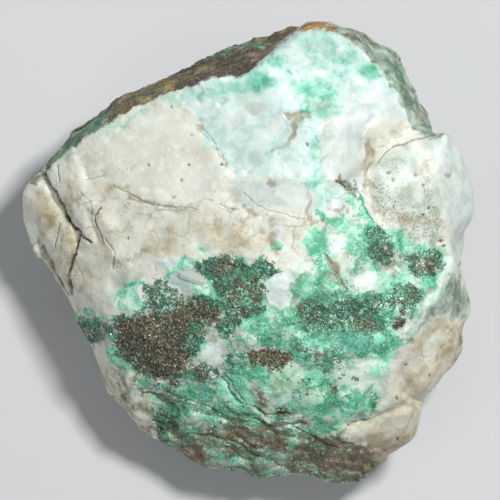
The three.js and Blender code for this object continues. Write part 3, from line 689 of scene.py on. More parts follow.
# What the hidden underside keeps, as (share, noise from, noise to, noise width, seed).
UNDERSIDE = {
    "soil": (0.62, -0.5, 0.4, 9, 67),
    "murk_and_shade": (0.8, 0.0, 0.5, 12, 68),
    "mint": (0.6, 0.1, 0.5, 10, 69),
    "dark": (0.55, 0.25, 0.6, 10, 69),
    "brown": (0.6, 0.2, 0.6, 11, 70),
}
# How far each finish hides the hair creases between flakes of bare stone, and how gritty each one is.
UNBROKEN = {
    "glassy": 0.85, "white": 0.8, "pale": 0.85, "chalk": 0.85, "grey": 0.7, "mint": 0.75, "dark": 0.75,
    "brown": 0.75, "green": 0.75,
}
CALM_UNBROKEN = 0.8
WALL_UNBROKEN = 0.75
GRITTY = {"dark": 1.0, "brown": 1.0, "green": 0.6, "mint": 0.5, "wall": 1.0}

KNOB = (30.2, -13.6, 1.5)  # a small round lump of druse, as (x, y, radius)
CRACK_WANDER = 0.26
SPECK_WANDER = 0.16
SPECK_DEPTH = 0.35

# Cracks and narrow steps as (run, half width, depth, how dark the painted shade in them is).
CRACKS = (
    (((-40, 16), (-38.5, 12.8), (-38, 12), (-36, 8), (-34.6, 5.8), (-33, 4), (-31, 2)), 0.24, 0.8, 1.0),
    (((-37.5, 17.5), (-37, 14.5)), 0.15, 0.3, 0.5),
    (((-29, 9), (-30, 7.5), (-29.5, 5), (-28.5, 2.5)), 0.15, 0.4, 0.75),
    (((-33, 4), (-33.6, 2), (-34, 0), (-35.5, -4.5), (-34.5, -8)), 0.26, 0.8, 0.9),
    (((-40.5, 1.5), (-38.5, -3), (-35.5, -8)), 0.28, 1.0, 0.9),
    (((-37, 6), (-38, 1.5)), 0.13, 0.3, 0.45),
    (FACE_FOOT, 0.13, 0.22, 0.22),
    (((-32.5, 14.5), (-30.5, 14.8), (-28.5, 15.5)), 0.13, 0.2, 0.22),
    (((-33, 12), (-31, 10), (-30.5, 8)), 0.12, 0.2, 0.22),
    (((-28, 3), (-26, 0), (-26.5, -3)), 0.12, 0.3, 0.3),
    (((-5.5, 10), (-4, 9), (-1.5, 8.5)), 0.12, 0.22, 0.4),
    (((-0.5, 12), (1.5, 10), (4, 8.5)), 0.12, 0.22, 0.3),
    (((4, 8.5), (8, 7.5), (11.5, 6.5)), 0.12, 0.2, 0.3),
    (((17.5, 14.5), (19.5, 13), (22, 10.5)), 0.22, 0.35, 0.6),
    # painted shadow: the dark line along the ledge at the block's upper edge
    (((26, 18), (27.5, 19.8), (29, 21), (35.5, 23), (39, 24)), 0.17, 0.4, 0.45),
    (((-5, -24.5), (-3, -28), (-1, -30)), 0.16, 0.5, 0.3),
    (((-4, -24.5), (-1.5, -28.5), (0, -30)), 0.14, 0.4, 0.25),
    (((1.5, -30.5), (3.5, -32), (8.5, -32)), 0.18, 0.6, 0.5),
    (((0, -32.5), (3, -33.5), (6, -35)), 0.18, 0.6, 0.5),
    (((-21, -27.5), (-18, -28)), 0.16, 0.4, 0.6),
    (((-16, -27.5), (-12, -29), (-8, -30.2), (-5, -32)), 0.14, 0.4, 0.45),
    (((7, -33.5), (10, -34.5), (14, -37), (18, -38.5)), 0.15, 0.45, 0.55),
    (((-12, -36), (-7, -36.6), (-3, -38)), 0.15, 0.4, 0.5),
    (((-16, -29), (-14.6, -30), (-13.5, -31.5)), 0.16, 0.4, 0.6),
    (((20, -34), (23, -33), (25, -31.5)), 0.16, 0.4, 0.5),
    (PALE_EDGE, 0.14, 0.3, 0.35),
    (FACE_END, 0.13, 0.2, 0.25),
)
# Dark specks and pits as (x, y, radius).
SPECKS = (
    (-19.5, 17.5, 0.13), (-13, 14.5, 0.13), (-14.5, 11, 0.15), (-11.5, 17.5, 0.12), (-11, 23.5, 0.12),
    (12, 21.5, 0.24), (-5, 17.5, 0.21), (15, 6.5, 0.21), (28, 16, 0.18), (29, 14.5, 0.18), (33.5, 15.5, 0.18),
    (35, 13.5, 0.18), (35, 7.5, 0.21), (36, 9, 0.18), (38.5, 2.5, 0.27), (39, 1.5, 0.24), (18, -36.5, 0.24),
    (30, -37, 0.21), (31.5, -22, 0.18), (29.5, -28.5, 0.18), (36, -24, 0.18), (-15, 29, 0.12),
    (-23.5, 3, 0.12),
)


def run_distance(spots, run):
    """How far each (x, y) is from a run of points."""
    best = np.full(len(spots), 1e9)
    for a, b in itertools.pairwise(np.array(run, float)):
        along = b - a
        share = np.clip((spots - a) @ along / (along @ along), 0, 1)
        best = np.minimum(best, np.linalg.norm(spots - a - share[:, None] * along, axis=1))
    return best


def outline_distance(spots, outline):
    """How far each (x, y) is from a closed outline, negative inside it."""
    ring = np.array(outline + outline[:1], float)
    inside = np.zeros(len(spots), bool)
    for (ax, ay), (bx, by) in itertools.pairwise(ring):
        if ay == by:
            continue
        spans = (ay > spots[:, 1]) != (by > spots[:, 1])
        inside ^= spans & (spots[:, 0] < ax + (bx - ax) * (spots[:, 1] - ay) / (by - ay))
    far = run_distance(spots, ring)
    return np.where(inside, -far, far)


def shape_distance(spots, kind, shape):
    """How far each (x, y) is outside an area, vein or spot, negative inside it."""
    if kind == "area":
        return outline_distance(spots, shape)
    if kind == "vein":
        run, half = shape
        return run_distance(spots, run) - half
    x, y, radius = shape
    return np.hypot(spots[:, 0] - x, spots[:, 1] - y) - radius


def wandering(points, reach, seed):
    """(x, y) of each point, moved about by roughly reach so that straight edges come out ragged."""
    shift = [rough(points, 1.4 * reach + 1.2, seed + 40 * k, 4, 0.65) for k in range(2)]
    return points[:, :2] + 1.7 * reach * np.stack(shift, axis=1)


def speck_distance(points):
    """How far each point is outside the nearest dark speck, negative inside it."""
    spots = wandering(points, SPECK_WANDER, 66)
    return np.minimum.reduce([shape_distance(spots, "spot", speck) for speck in SPECKS])


def wall_cover(points, outline, reach, seed, top):
    """How much of a wall's finish lies at each point: clear-cut at its rim, ragged and fading below top."""
    low_down = smooth(top, top - WALL_FADE, points[:, 2])
    far = outline_distance(wandering(points, reach, seed), outline)
    far += 6 * low_down * rough(points, 10, 62, 4, 0.65)
    return smooth(0.4 + 2.6 * low_down, -0.6 - 2.6 * low_down, far)


def patch_cover(points, upper, name, shapes, seed):
    """How much of one finish its areas, veins and spots lay at each point, and how far their rims are."""
    spots = wandering(points, RAGGED.get(name, RAGGED_OTHERWISE), seed)
    thicker = PATCHY.get(name, 0) * 1.6 * rough(points, PATCH_WIDTH, seed + 20, 2)
    laid = np.zeros(len(points))
    rim = np.full(len(points), np.inf)
    for kind, shape, share, soft in shapes:
        far = shape_distance(spots, kind, shape)
        rim = np.minimum(rim, np.abs(far))
        here = smooth(soft, -soft, far) * (share + 2 * thicker * min(share, FULLEST - share))
        laid = np.maximum(laid, upper * here)
    return np.minimum(laid, 1), rim


def crack_cover(points):
    """How dark the painted shade in the cracks is at each point."""
    spots = wandering(points, CRACK_WANDER, 65)
    lines = [dark * smooth(1.5 * half, 0.2 * half, run_distance(spots, run)) for run, half, _, dark in CRACKS]
    return np.maximum.reduce(lines)


def calmness(points):
    """1 on the smooth cream face and 0 off it."""
    return smooth(2, -2, outline_distance(wandering(points, 1.2, 71), SMOOTH_FACE))


def most(cover, shares):
    """The largest of some finishes at each point, each taken times its share."""
    return np.maximum.reduce([share * cover[name] for name, share in shares.items()])


def finishes(points, up):
    """How much of each finish lies at each point, from 0 to 1, before the shaders sharpen its edge."""
    upper = smooth(*UPPER_FADE, up)
    cover = {}
    for seed, (name, shapes) in enumerate(PATCHES.items(), FIRST_SEED):
        cover[name], rim = patch_cover(points, upper, name, shapes, seed)
        if name == "pale":
            halo = HALO_SHARE * smooth(2.2 * HALO, HALO, rim) * cover["mint"]
    cover["bright"] = np.maximum(cover["bright"], halo)
    cover["wall"] = wall_cover(points, NORTH_WEST_WALL, reach=0.3, seed=61, top=28)
    cover["east_wall"] = wall_cover(points, NORTH_EAST_WALL, reach=0.6, seed=63, top=34)
    walls = np.maximum(cover["wall"], cover["east_wall"])
    band = smooth(1.2, -1.2, outline_distance(wandering(points, 1.1, 64), EAST_BAND))
    cover["east_wall"] = np.maximum(cover["east_wall"], BAND_SHARE * upper * band)
    for name in OFF_THE_WALLS:
        cover[name] *= 1 - walls
    cover["olive"] *= cover["wall"]
    cover["verdigris"] *= walls
    hidden = smooth(*HIDDEN_FADE, up) * (1 - walls)
    for name, (share, low, high, width, seed) in UNDERSIDE.items():
        cover[name] = np.maximum(cover[name], share * hidden * smooth(low, high, rough(points, width, seed)))
    whole = [most(cover, UNBROKEN), CALM_UNBROKEN * calmness(points), WALL_UNBROKEN * walls]
    cover["broken"] = 1 - np.maximum.reduce(whole)
    cover["gritty"] = most(cover, GRITTY)
    cover["strata"] = smooth(2, -2, outline_distance(wandering(points, 1.5, 72), STRATA))
    # the cracks, which the material darkens with painted shade
    cover["crack"] = upper * crack_cover(points)
    cover["speck"] = upper * smooth(0.28, -0.1, speck_distance(points))
    return cover


# ---------------------------------------------------------------- relief


def scoops(points, width, seed, stretch):
    """Shallow broken hollows about width across that meet in sharp ridges, from about 0 to 1."""
    spot = points / (width * np.array(stretch, float)) + 0.43 * seed
    home = np.floor(spot).astype(np.int64)
    lowest = np.full(len(points), FAR_OFF)
    for step in itertools.product((-1, 0, 1), repeat=3):
        cell = home + np.array(step)
        way = spot - cell - np.stack([hashed(cell, seed + k) for k in range(3)], axis=1)
        turn = 2 * math.pi * hashed(cell, seed + 7)
        lean = 0.5 * (np.cos(turn) * way[:, 0] + np.sin(turn) * way[:, 1])
        lowest = np.minimum(lowest, (way**2).sum(axis=1) + lean + 0.55 * hashed(cell, seed + 9))
    return lowest


def knobs(points, width, seed):
    """Rounded grains about width across, 1 on top of each and 0 between them."""
    near, gap, number = grains(points, width, seed)
    return np.clip(1.25 - 1.3 * near * near, 0, 1) * smooth(0, 0.25, gap) * (0.55 + 0.45 * number)


def layers(points):
    """Thin uneven layers one below another towards -Y, each with a sharp lip on its +Y side, from -0.5
    to 0.5."""
    depth = (points[:, 1] + 0.25 * points[:, 0]) / LAYER_WIDTH + LAYER_SWAY * rough(points, 8, 105, 3)
    rise = smooth(0.0, 0.8, depth - np.floor(depth))
    return rise * (0.4 + 0.6 * smooth(-0.4, 0.4, noise(points, 3, 106))) - 0.5


# What breaks up the surface, as (how far it stands out, how wide its swells are, seed), in millimetres.
FLAKES = ((0.75, 7.5, 81), (0.24, 3.1, 82), (0.05, 1.4, 83))
BROAD_BLADES = (0.75, 9.0, 87)
NARROW_BLADES = (0.1, 3.2, 88)
STONE_SWELL = (0.035, 3.0, 91)
CRUST_KNOBS = (0.25, 1.1, 93)
CRUST_SWELL = (0.45, 2.4, 107)
GRIT_KNOBS = ((0.3, 0.95, 95), (0.22, 1.9, 97))
GRIT_SWELL = (0.3, 2.6, 99)
GRIT_HEAPS = (0.2, 5.0, 101)
WALL_HOLLOWS = (0.75, 3.2, 103)
WALL_KNOBS = (0.2, 1.1, 104)
LAYER_STEP = 0.7
LAYER_WIDTH = 2.5
LAYER_SWAY = 1.6
SOIL_DEPTH = 0.3
KNOB_RISE = 0.45
# How far each finish counts as calm, as gritty and as crust, and how far pale crust quiets the grit.
CALM = {"white": 0.85, "grey": 0.85, "chalk": 0.85}
GRIT = {"dark": 1, "brown": 1, "green": 0.6, "earth_and_shade": 0.8}
GRIT_QUIETED = {"pale": 0.85, "chalk": 0.85}
CRUST = {"mint": 1, "green": 1, "murk_and_shade": 0.8}
GRIT_FLATTENS = 0.75
CALM_FLATTENS = 0.85
PALE_FLATTENS = 0.6
# Stretches of the hollows, as widths along X, Y and Z.
EVEN = (1, 1, 1)
BLADED = (1, 0.55, 1)
LEDGED = (1, 1, 0.5)


def hollows(points, layer, stretch=EVEN):
    """Broken hollows as high and wide as a layer says, in millimetres."""
    rise, width, seed = layer
    return rise * scoops(points, width, seed, stretch)


def lumps(points, layer):
    """Rounded grains as high and wide as a layer says, in millimetres."""
    rise, width, seed = layer
    return rise * knobs(points, width, seed)


def swell(points, layer):
    """A gentle rise and fall as high and wide as a layer says, in millimetres."""
    rise, width, seed = layer
    return rise * rough(points, width, seed, 3)


def wall_inset(points):
    """How far each point lies inside the rim of a side wall, from 0 on the rim to 1 well inside."""
    rims = [outline_distance(points[:, :2], wall) for wall in (NORTH_WEST_WALL, NORTH_EAST_WALL)]
    return smooth(0.6, -2.4, np.minimum.reduce(rims))


def stone_relief(points, glass):
    """Broad flakes of broken quartz, turning into long blades where it is glassy."""
    flakes = sum(hollows(points, layer) for layer in FLAKES)
    blades = hollows(points, BROAD_BLADES, BLADED) + hollows(points, NARROW_BLADES)
    return (1 - glass) * flakes + glass * blades


def grit_relief(points):
    """Rounded grains of two sizes on swelling ground that is heaped up here and there."""
    height = sum(lumps(points, layer) for layer in GRIT_KNOBS) + swell(points, GRIT_SWELL)
    rise, width, seed = GRIT_HEAPS
    return height + rise * smooth(-0.2, 0.6, rough(points, width, seed))


def knob_relief(points):
    """The round lump of druse."""
    x, y, radius = KNOB
    far = np.hypot(points[:, 0] - x, points[:, 1] - y)
    return KNOB_RISE * radius * smooth(radius, 0.2 * radius, far)


def relief(points, cover):
    """How far each point stands out from the rounded lump, in millimetres."""
    calm = np.maximum(calmness(points), most(cover, CALM))
    grit = most(cover, GRIT) * (1 - most(cover, GRIT_QUIETED))
    crust = most(cover, CRUST) * (1 - PALE_FLATTENS * cover["pale"])
    walls = most(cover, {"wall": 1, "east_wall": 1})
    bare = (1 - GRIT_FLATTENS * grit) * (1 - CALM_FLATTENS * calm)
    height = bare * stone_relief(points, cover["glassy"])
    height += (1 - grit) * swell(points, STONE_SWELL)
    height += crust * (1 - grit) * (lumps(points, CRUST_KNOBS) + swell(points, CRUST_SWELL))
    height += grit * grit_relief(points)
    ledges = hollows(points, WALL_HOLLOWS, LEDGED) + lumps(points, WALL_KNOBS)
    height += walls * wall_inset(points) * ledges
    height += LAYER_STEP * cover["strata"] * (1 - walls) * layers(points)
    height -= SOIL_DEPTH * cover["soil"] * (1 - calm)
    return height + knob_relief(points)


def carved(points, up):
    """How deep the cracks and pits go at each point, in millimetres."""
    spots = wandering(points, CRACK_WANDER, 65)
    depth = np.zeros(len(points))
    for run, half, deep, _ in CRACKS:
        depth = np.maximum(depth, deep * np.exp(-((run_distance(spots, run) / half) ** 2)))
    depth = np.maximum(depth, SPECK_DEPTH * smooth(0.2, -0.2, speck_distance(points)))
    return depth * smooth(0.1, 0.4, up)


def rounded(points, faces, coarse):
    """The fine mesh with its ridges eased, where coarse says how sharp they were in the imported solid."""
    edges, _ = edges_of(faces, len(points))
    sharp = np.zeros((len(points), 1))
    sharp[: len(coarse), 0] = coarse
    for _ in range(RIDGE_SPREADS):
        sharp = np.maximum(RIDGE_FADE * sharp, neighbour_mean(sharp, edges) * RIDGE_SPREAD)
    sharp = np.clip(sharp, 0, 1)
    resting = points[:, 2] < RESTING_HEIGHT
    for _ in range(ROUNDING_PASSES):
        pull = ROUNDING_PULL * (1 - RIDGE_HOLD * sharp)
        points = points + pull * (neighbour_mean(points, edges) - points)
        points[resting, 2] = 0
    return points, edges, resting


def rock_points(points, faces):
    """The refined solid rounded, broken up and carved: its points, its faces and each point's finishes."""
    coarse = sharpness(points, faces)
    packed_low, packed_high = points.min(axis=0), points.max(axis=0)
    points, faces = refined(points, faces)
    points, edges, resting = rounded(points, faces, coarse)
    normal = normals_of(points, faces)
    cover = finishes(points, normal[:, 2])
    height = relief(points, cover) - carved(points, normal[:, 2])
    points = points + height[:, None] * normal
    points[resting, 2] = 0
    points = np.clip(points, packed_low, packed_high)
    # how deep each point lies, which the material darkens with painted shade
    cover["hollow"] = cavity(points, faces, edges)
    return points, faces, cover


def cavity(points, faces, edges):
    """How far each point lies below its surroundings, near and wider ones added up, in millimetres."""
    normal = normals_of(points, faces)
    total = np.zeros(len(points))
    far = points
    for done in range(1, max(CAVITY_PASSES) + 1):
        far = neighbour_mean(far, edges)
        if done in CAVITY_PASSES:
            total += ((far - points) * normal).sum(axis=1)
    return total


def mesh_object(name, points, faces, material, shades=None, flat=None):
    """A mesh of triangles given in millimetres, with numbers for its points, flat where flat says so."""
    mesh = bpy.data.meshes.new(name)
    mesh.vertices.add(len(points))
    mesh.vertices.foreach_set("co", (points * MM).astype(np.float32).ravel())
    mesh.loops.add(faces.size)
    mesh.loops.foreach_set("vertex_index", faces.astype(np.int32).ravel())
    mesh.polygons.add(len(faces))
    mesh.polygons.foreach_set("loop_start", np.arange(0, faces.size, 3, dtype=np.int32))
    mesh.polygons.foreach_set("use_smooth", np.ones(len(faces), bool) if flat is None else ~flat)
    for attribute, values in (shades or {}).items():
        layer = mesh.attributes.new(attribute, "FLOAT", "POINT")
        layer.data.foreach_set("value", values.astype(np.float32))
    mesh.materials.append(material)
    mesh.update()
    mesh.validate()
    made = bpy.data.objects.new(name, mesh)
    bpy.context.scene.collection.objects.link(made)
    return made


# ---------------------------------------------------------------- node helpers


def feed(tree, socket, value):
    """Links another node's output to a socket, or sets it to a plain value."""
    if isinstance(value, bpy.types.NodeSocket):
        tree.links.new(value, socket)
    else:
        socket.default_value = value


def put(tree, kind, settings=None, **inputs):
    """A node with its settings, and its inputs fed. An input is named, with _ for a space, or is i and its
    number."""
    node = tree.nodes.new(kind)
    for key, value in (settings or {}).items():
        setattr(node, key, value)
    for key, value in inputs.items():
        by_number = key[0] == "i" and key[1:].isdigit()
        feed(tree, node.inputs[int(key[1:]) if by_number else key.replace("_", " ")], value)
    return node


def maths(tree, operation, *values):
    """The result of one sum with the values."""
    inputs = {f"i{k}": value for k, value in enumerate(values)}
    return put(tree, "ShaderNodeMath", {"operation": operation}, **inputs).outputs[0]


def blended(tree, share, first, second):
    """Colour first turning into second as share goes from 0 to 1."""
    node = put(tree, "ShaderNodeMix", {"data_type": "RGBA"}, i0=share, i6=first, i7=second)
    return node.outputs[2]


def between(tree, value, low, high, to_low=0.0, to_high=1.0):
    """Value carried over smoothly from low and high to to_low and to_high, and held past them."""
    settings = {"interpolation_type": "SMOOTHSTEP"}
    node = put(tree, "ShaderNodeMapRange", settings, i0=value, i1=low, i2=high, i3=to_low, i4=to_high)
    return node.outputs[0]


def attribute(tree, name):
    """The number that a mesh carries at each point under a name."""
    return put(tree, "ShaderNodeAttribute", {"attribute_name": name}).outputs["Fac"]


def new_group(name, inputs, outputs):
    """An empty group with its sockets, and its input and output nodes."""
    tree = bpy.data.node_groups.new(name, "ShaderNodeTree")
    for label, kind in inputs:
        tree.interface.new_socket(label, in_out="INPUT", socket_type=kind)
    for label, kind in outputs:
        tree.interface.new_socket(label, in_out="OUTPUT", socket_type=kind)
    return tree, tree.nodes.new("NodeGroupInput"), tree.nodes.new("NodeGroupOutput")


def use(tree, group, **inputs):
    """The outputs of a group placed in tree with its inputs fed."""
    node = tree.nodes.new("ShaderNodeGroup")
    node.node_tree = group
    for key, value in inputs.items():
        feed(tree, node.inputs[key], value)
    return node.outputs


NUMBER = "NodeSocketFloat"
COLOUR = "NodeSocketColor"


def rgb(red, green, blue):
    """A colour given in the screen's own 0 to 255 steps, as the shaders want it."""
    parts = [c / 255 for c in (red, green, blue)]
    return tuple(c / 12.92 if c <= 0.04045 else ((c + 0.055) / 1.055) ** 2.4 for c in parts) + (1.0,)


# ---------------------------------------------------------------- shared effects

# Creases between flakes, as (how many to a millimetre, width in cells, how strong).
CREASES = ((0.13, 0.035, 0.6), (0.3, 0.05, 0.35), (0.8, 0.09, 0.12))
CREASE_DRIFT = 3.2
# Fields of noise, as (swells to a millimetre, detail, roughness).
FIELDS = {"Broad": (0.13, 4.0, 0.55), "Blotch": (0.62, 5.0, 0.62), "Grit": (2.6, 3.0, 0.7)}
DRIFT = {"Scale": 0.34, "Detail": 6.0, "Roughness": 0.6, "Distortion": 0.35}
GRAINS_PER_MM = 2.4


def crease_lines(tree, spot, drift):
    """Thin broken lines where flakes of stone meet, wide apart and close together, from 0 to about 0.6."""
    settings = {"operation": "MULTIPLY_ADD"}
    bent = put(tree, "ShaderNodeVectorMath", settings, i0=drift, i1=(CREASE_DRIFT,) * 3, i2=spot).outputs[0]
    lines = None
    for scale, width, strength in CREASES:
        settings = {"feature": "DISTANCE_TO_EDGE"}
        cells = put(tree, "ShaderNodeTexVoronoi", settings, Vector=bent, Scale=scale)
        near = between(tree, cells.outputs["Distance"], width, 0, 0, strength)
        here = put(tree, "ShaderNodeTexNoise", None, Vector=spot, Scale=2.2 * scale, Detail=2.0)
        near = maths(tree, "MULTIPLY", near, between(tree, here.outputs["Fac"], 0.44, 0.56))
        lines = near if lines is None else maths(tree, "MAXIMUM", lines, near)
    return lines


def make_mottle():
    """Fields that vary over the stone, in its own millimetres: broad swells, finer blotches, grit, drifting
    clouds, a number for each tiny grain with the gaps between grains that get painted shade, and creases."""
    outputs = [(name, NUMBER) for name in ("Broad", "Blotch", "Grit", "Cloud", "Grain", "Between", "Crease")]
    tree, _, out = new_group("stone_mottle", [], outputs)
    place = put(tree, "ShaderNodeTexCoord").outputs["Object"]
    spot = put(tree, "ShaderNodeVectorMath", {"operation": "SCALE"}, i0=place, Scale=1 / MM).outputs[0]
    for name, (scale, detail, gain) in FIELDS.items():
        field = put(tree, "ShaderNodeTexNoise", None, Vector=spot, Scale=scale, Detail=detail, Roughness=gain)
        tree.links.new(field.outputs["Fac"], out.inputs[name])
    drift = put(tree, "ShaderNodeTexNoise", None, Vector=spot, **DRIFT)
    tree.links.new(between(tree, drift.outputs["Fac"], 0.32, 0.68), out.inputs["Cloud"])
    tree.links.new(crease_lines(tree, spot, drift.outputs["Color"]), out.inputs["Crease"])
    cells = put(tree, "ShaderNodeTexVoronoi", None, Vector=spot, Scale=GRAINS_PER_MM, Randomness=1.0)
    split_up = put(tree, "ShaderNodeSeparateColor", None, Color=cells.outputs["Color"])
    tree.links.new(split_up.outputs["Red"], out.inputs["Grain"])
    tree.links.new(between(tree, cells.outputs["Distance"], 0.25, 0.75), out.inputs["Between"])
    return tree


def make_ragged_edge():
    """A soft mask sharpened into a crusty edge by blotches and grit."""
    inputs = [(name, NUMBER) for name in ("Mask", "Blotch", "Grit", "Grain", "Grains", "Spread", "Soft")]
    tree, given, out = new_group("ragged_edge", inputs, [("Mask", NUMBER)])
    values = given.outputs
    blotch = maths(tree, "SUBTRACT", values["Blotch"], 0.5)
    grit = maths(tree, "SUBTRACT", values["Grit"], 0.5)
    worn = maths(tree, "MULTIPLY_ADD", blotch, 1.5, maths(tree, "MULTIPLY", grit, 0.35))
    worn = maths(tree, "MULTIPLY_ADD", maths(tree, "SUBTRACT", values["Grain"], 0.5), values["Grains"], worn)
    moved = maths(tree, "MULTIPLY_ADD", worn, values["Spread"], values["Mask"])
    low, high = (maths(tree, way, 0.5, values["Soft"]) for way in ("SUBTRACT", "ADD"))
    present = between(tree, values["Mask"], 0.02, 0.22)
    tree.links.new(maths(tree, "MULTIPLY", present, between(tree, moved, low, high)), out.inputs["Mask"])
    return tree


def make_grain_colours():
    """Three colours dealt out grain by grain, with painted shade darkening the gaps between grains."""
    inputs = [("Low", COLOUR), ("Middle", COLOUR), ("High", COLOUR), ("Grain", NUMBER), ("Between", NUMBER)]
    tree, given, out = new_group("grain_colours", inputs, [("Color", COLOUR)])
    values = given.outputs
    colour = blended(tree, between(tree, values["Grain"], 0.18, 0.5), values["Low"], values["Middle"])
    colour = blended(tree, between(tree, values["Grain"], 0.62, 0.95), colour, values["High"])
    # painted shade in the gaps between grains
    shade = maths(tree, "MULTIPLY", values["Between"], 0.55)
    colour = blended(tree, shade, colour, values["Low"])
    tree.links.new(colour, out.inputs["Color"])
    return tree


MOTTLE = make_mottle()
RAGGED_EDGE = make_ragged_edge()
GRAIN_COLOURS = make_grain_colours()

# ---------------------------------------------------------------- materials

# The crusts over the quartz, from the lowest up: how ragged and how soft its edge is, three colours, its
# roughness, and whether the colours are dealt out grain by grain, with painted shade in the gaps, or drift in
# clouds.
CRUSTS = (
    ("tan", 0.7, 0.42, (176, 161, 126), (200, 189, 157), (216, 209, 182), 0.5, False),
    ("grey", 0.6, 0.34, (182, 193, 178), (201, 212, 199), (216, 225, 213), 0.4, False),
    ("glassy", 0.5, 0.25, (188, 214, 206), (208, 228, 221), (219, 233, 228), 0.39, False),
    ("white", 0.5, 0.25, (198, 208, 201), (209, 219, 212), (220, 228, 222), 0.42, False),
    ("tint", 0.6, 0.45, (142, 206, 182), (170, 220, 202), (196, 232, 220), 0.4, False),
    ("deep", 0.6, 0.4, (74, 170, 136), (108, 198, 168), (150, 220, 198), 0.4, False),
    ("murk_and_shade", 1.2, 0.22, (98, 108, 84), (142, 152, 126), (180, 190, 164), 0.6, False),
    ("mint", 1.2, 0.22, (84, 180, 140), (142, 220, 184), (210, 245, 221), 0.55, False),
    ("green", 1.2, 0.2, (54, 130, 96), (96, 186, 146), (156, 226, 192), 0.5, True),
    ("pale", 0.9, 0.24, (192, 218, 198), (217, 232, 217), (234, 242, 231), 0.5, False),
    ("sage", 1.0, 0.24, (156, 200, 164), (186, 222, 192), (212, 235, 212), 0.5, False),
    ("teal", 1.0, 0.2, (72, 152, 130), (116, 192, 168), (160, 218, 198), 0.5, True),
    ("dark", 1.2, 0.16, (36, 66, 50), (68, 116, 92), (120, 172, 146), 0.45, True),
    ("bright", 0.9, 0.2, (118, 212, 176), (152, 230, 198), (196, 243, 222), 0.5, False),
    ("earth_and_shade", 1.2, 0.2, (82, 74, 56), (126, 116, 92), (168, 160, 136), 0.65, True),
    ("chalk", 0.8, 0.22, (212, 232, 221), (227, 240, 232), (239, 247, 241), 0.5, False),
    ("brown", 1.2, 0.16, (54, 51, 38), (98, 94, 73), (144, 138, 111), 0.5, True),
    ("east_wall", 0.8, 0.3, (112, 126, 106), (152, 172, 154), (184, 202, 186), 0.6, False),
    ("wall", 0.5, 0.28, (56, 52, 42), (90, 85, 69), (132, 127, 106), 0.65, True),
    ("olive", 1.2, 0.25, (98, 92, 62), (132, 122, 84), (166, 150, 108), 0.65, False),
    ("verdigris", 1.2, 0.25, (74, 112, 92), (104, 146, 120), (142, 180, 156), 0.6, False),
    ("reddish", 1.0, 0.4, (96, 70, 58), (134, 108, 88), (170, 146, 120), 0.6, False),
    ("rust", 1.0, 0.25, (136, 100, 54), (184, 134, 66), (212, 174, 98), 0.7, False),
)
# How far the edge follows single grains, for a crust with grains and for a smooth one.
GRAINY = 0.45
SMOOTH = 0.08
CREAM = ((214, 215, 198), (226, 229, 214), (235, 238, 228))
# What lies over the crusts, and how strongly it shows: soil, painted shade in the hollows, tan lines in
# the creases that are stain and painted shade, dirt, and painted shade in the cracks, whose colour also marks
# the dark specks.
SOIL = (160, 143, 112)
HOLLOW_SHADE = (140, 134, 106)
CREASE_STAIN_AND_SHADE = (152, 142, 114)
DIRT = (84, 80, 60)
CRACK_SHADE_AND_SPECK = (46, 42, 28)
SOIL_STRENGTH = 0.7
HOLLOW_SHADE_STRENGTH = 0.4
DIRT_STRENGTH = 0.7
BUMP_STRENGTH = 0.35
BUMP_HEIGHT = 0.25
# How much light the stone lets in, and how many millimetres it goes.
LIGHT_LET_IN = 0.25
LIGHT_REACH = 1.3


def crusted(tree, field, edge_inputs):
    """Base colour and roughness of the stone: cream quartz under every crust in turn."""
    low, middle, high = (rgb(*c) for c in CREAM)
    colour = blended(tree, between(tree, field["Broad"], 0.35, 0.6), low, middle)
    colour = blended(tree, between(tree, field["Blotch"], 0.45, 0.7), colour, high)
    roughness = between(tree, field["Grit"], 0.2, 0.8, 0.36, 0.6)
    drifting = put(tree, "ShaderNodeMix", None, i0=0.35, i2=field["Grain"], i3=field["Cloud"]).outputs[0]
    for name, spread, soft, *shades, rough_value, grainy in CRUSTS:
        edge = {"Grains": GRAINY if grainy else SMOOTH, "Spread": spread, "Soft": soft, **edge_inputs}
        mask = use(tree, RAGGED_EDGE, Mask=attribute(tree, name), **edge)["Mask"]
        low, middle, high = (rgb(*c) for c in shades)
        dealt = {"Grain": drifting, "Between": field["Between"]} if grainy else {"Grain": field["Cloud"]}
        shade = use(tree, GRAIN_COLOURS, Low=low, Middle=middle, High=high, **dealt)["Color"]
        colour = blended(tree, mask, colour, shade)
        roughness = put(tree, "ShaderNodeMix", None, i0=mask, i2=roughness, i3=rough_value).outputs[0]
    return colour, roughness


def soiled(tree, colour, edge_inputs):
    """Thin brown soil lying over the stone."""
    mask = attribute(tree, "soil")
    soil = use(tree, RAGGED_EDGE, Mask=mask, Spread=0.9, Soft=0.35, Grains=SMOOTH, **edge_inputs)["Mask"]
    return blended(tree, maths(tree, "MULTIPLY", soil, SOIL_STRENGTH), colour, rgb(*SOIL))


def stained_and_shaded_creases(tree, colour, field):
    """Hair creases between the flakes of bare stone, drawn as tan lines that are partly stain and partly
    painted shade.
    """
    creases = maths(tree, "MULTIPLY", field["Crease"], attribute(tree, "broken"))
    return blended(tree, creases, colour, rgb(*CREASE_STAIN_AND_SHADE))


def shaded_hollows(tree, colour):
    """Painted shade: hollows a little darker than what stands up, least under pale crust."""
    sunk = between(tree, attribute(tree, "hollow"), 0.02, 0.4, 0, HOLLOW_SHADE_STRENGTH)
    paler = maths(tree, "MAXIMUM", attribute(tree, "pale"), attribute(tree, "chalk"))
    sunk = maths(tree, "MULTIPLY", sunk, between(tree, paler, 0.3, 0.6, 1.0, 0.3))
    return blended(tree, sunk, colour, rgb(*HOLLOW_SHADE))


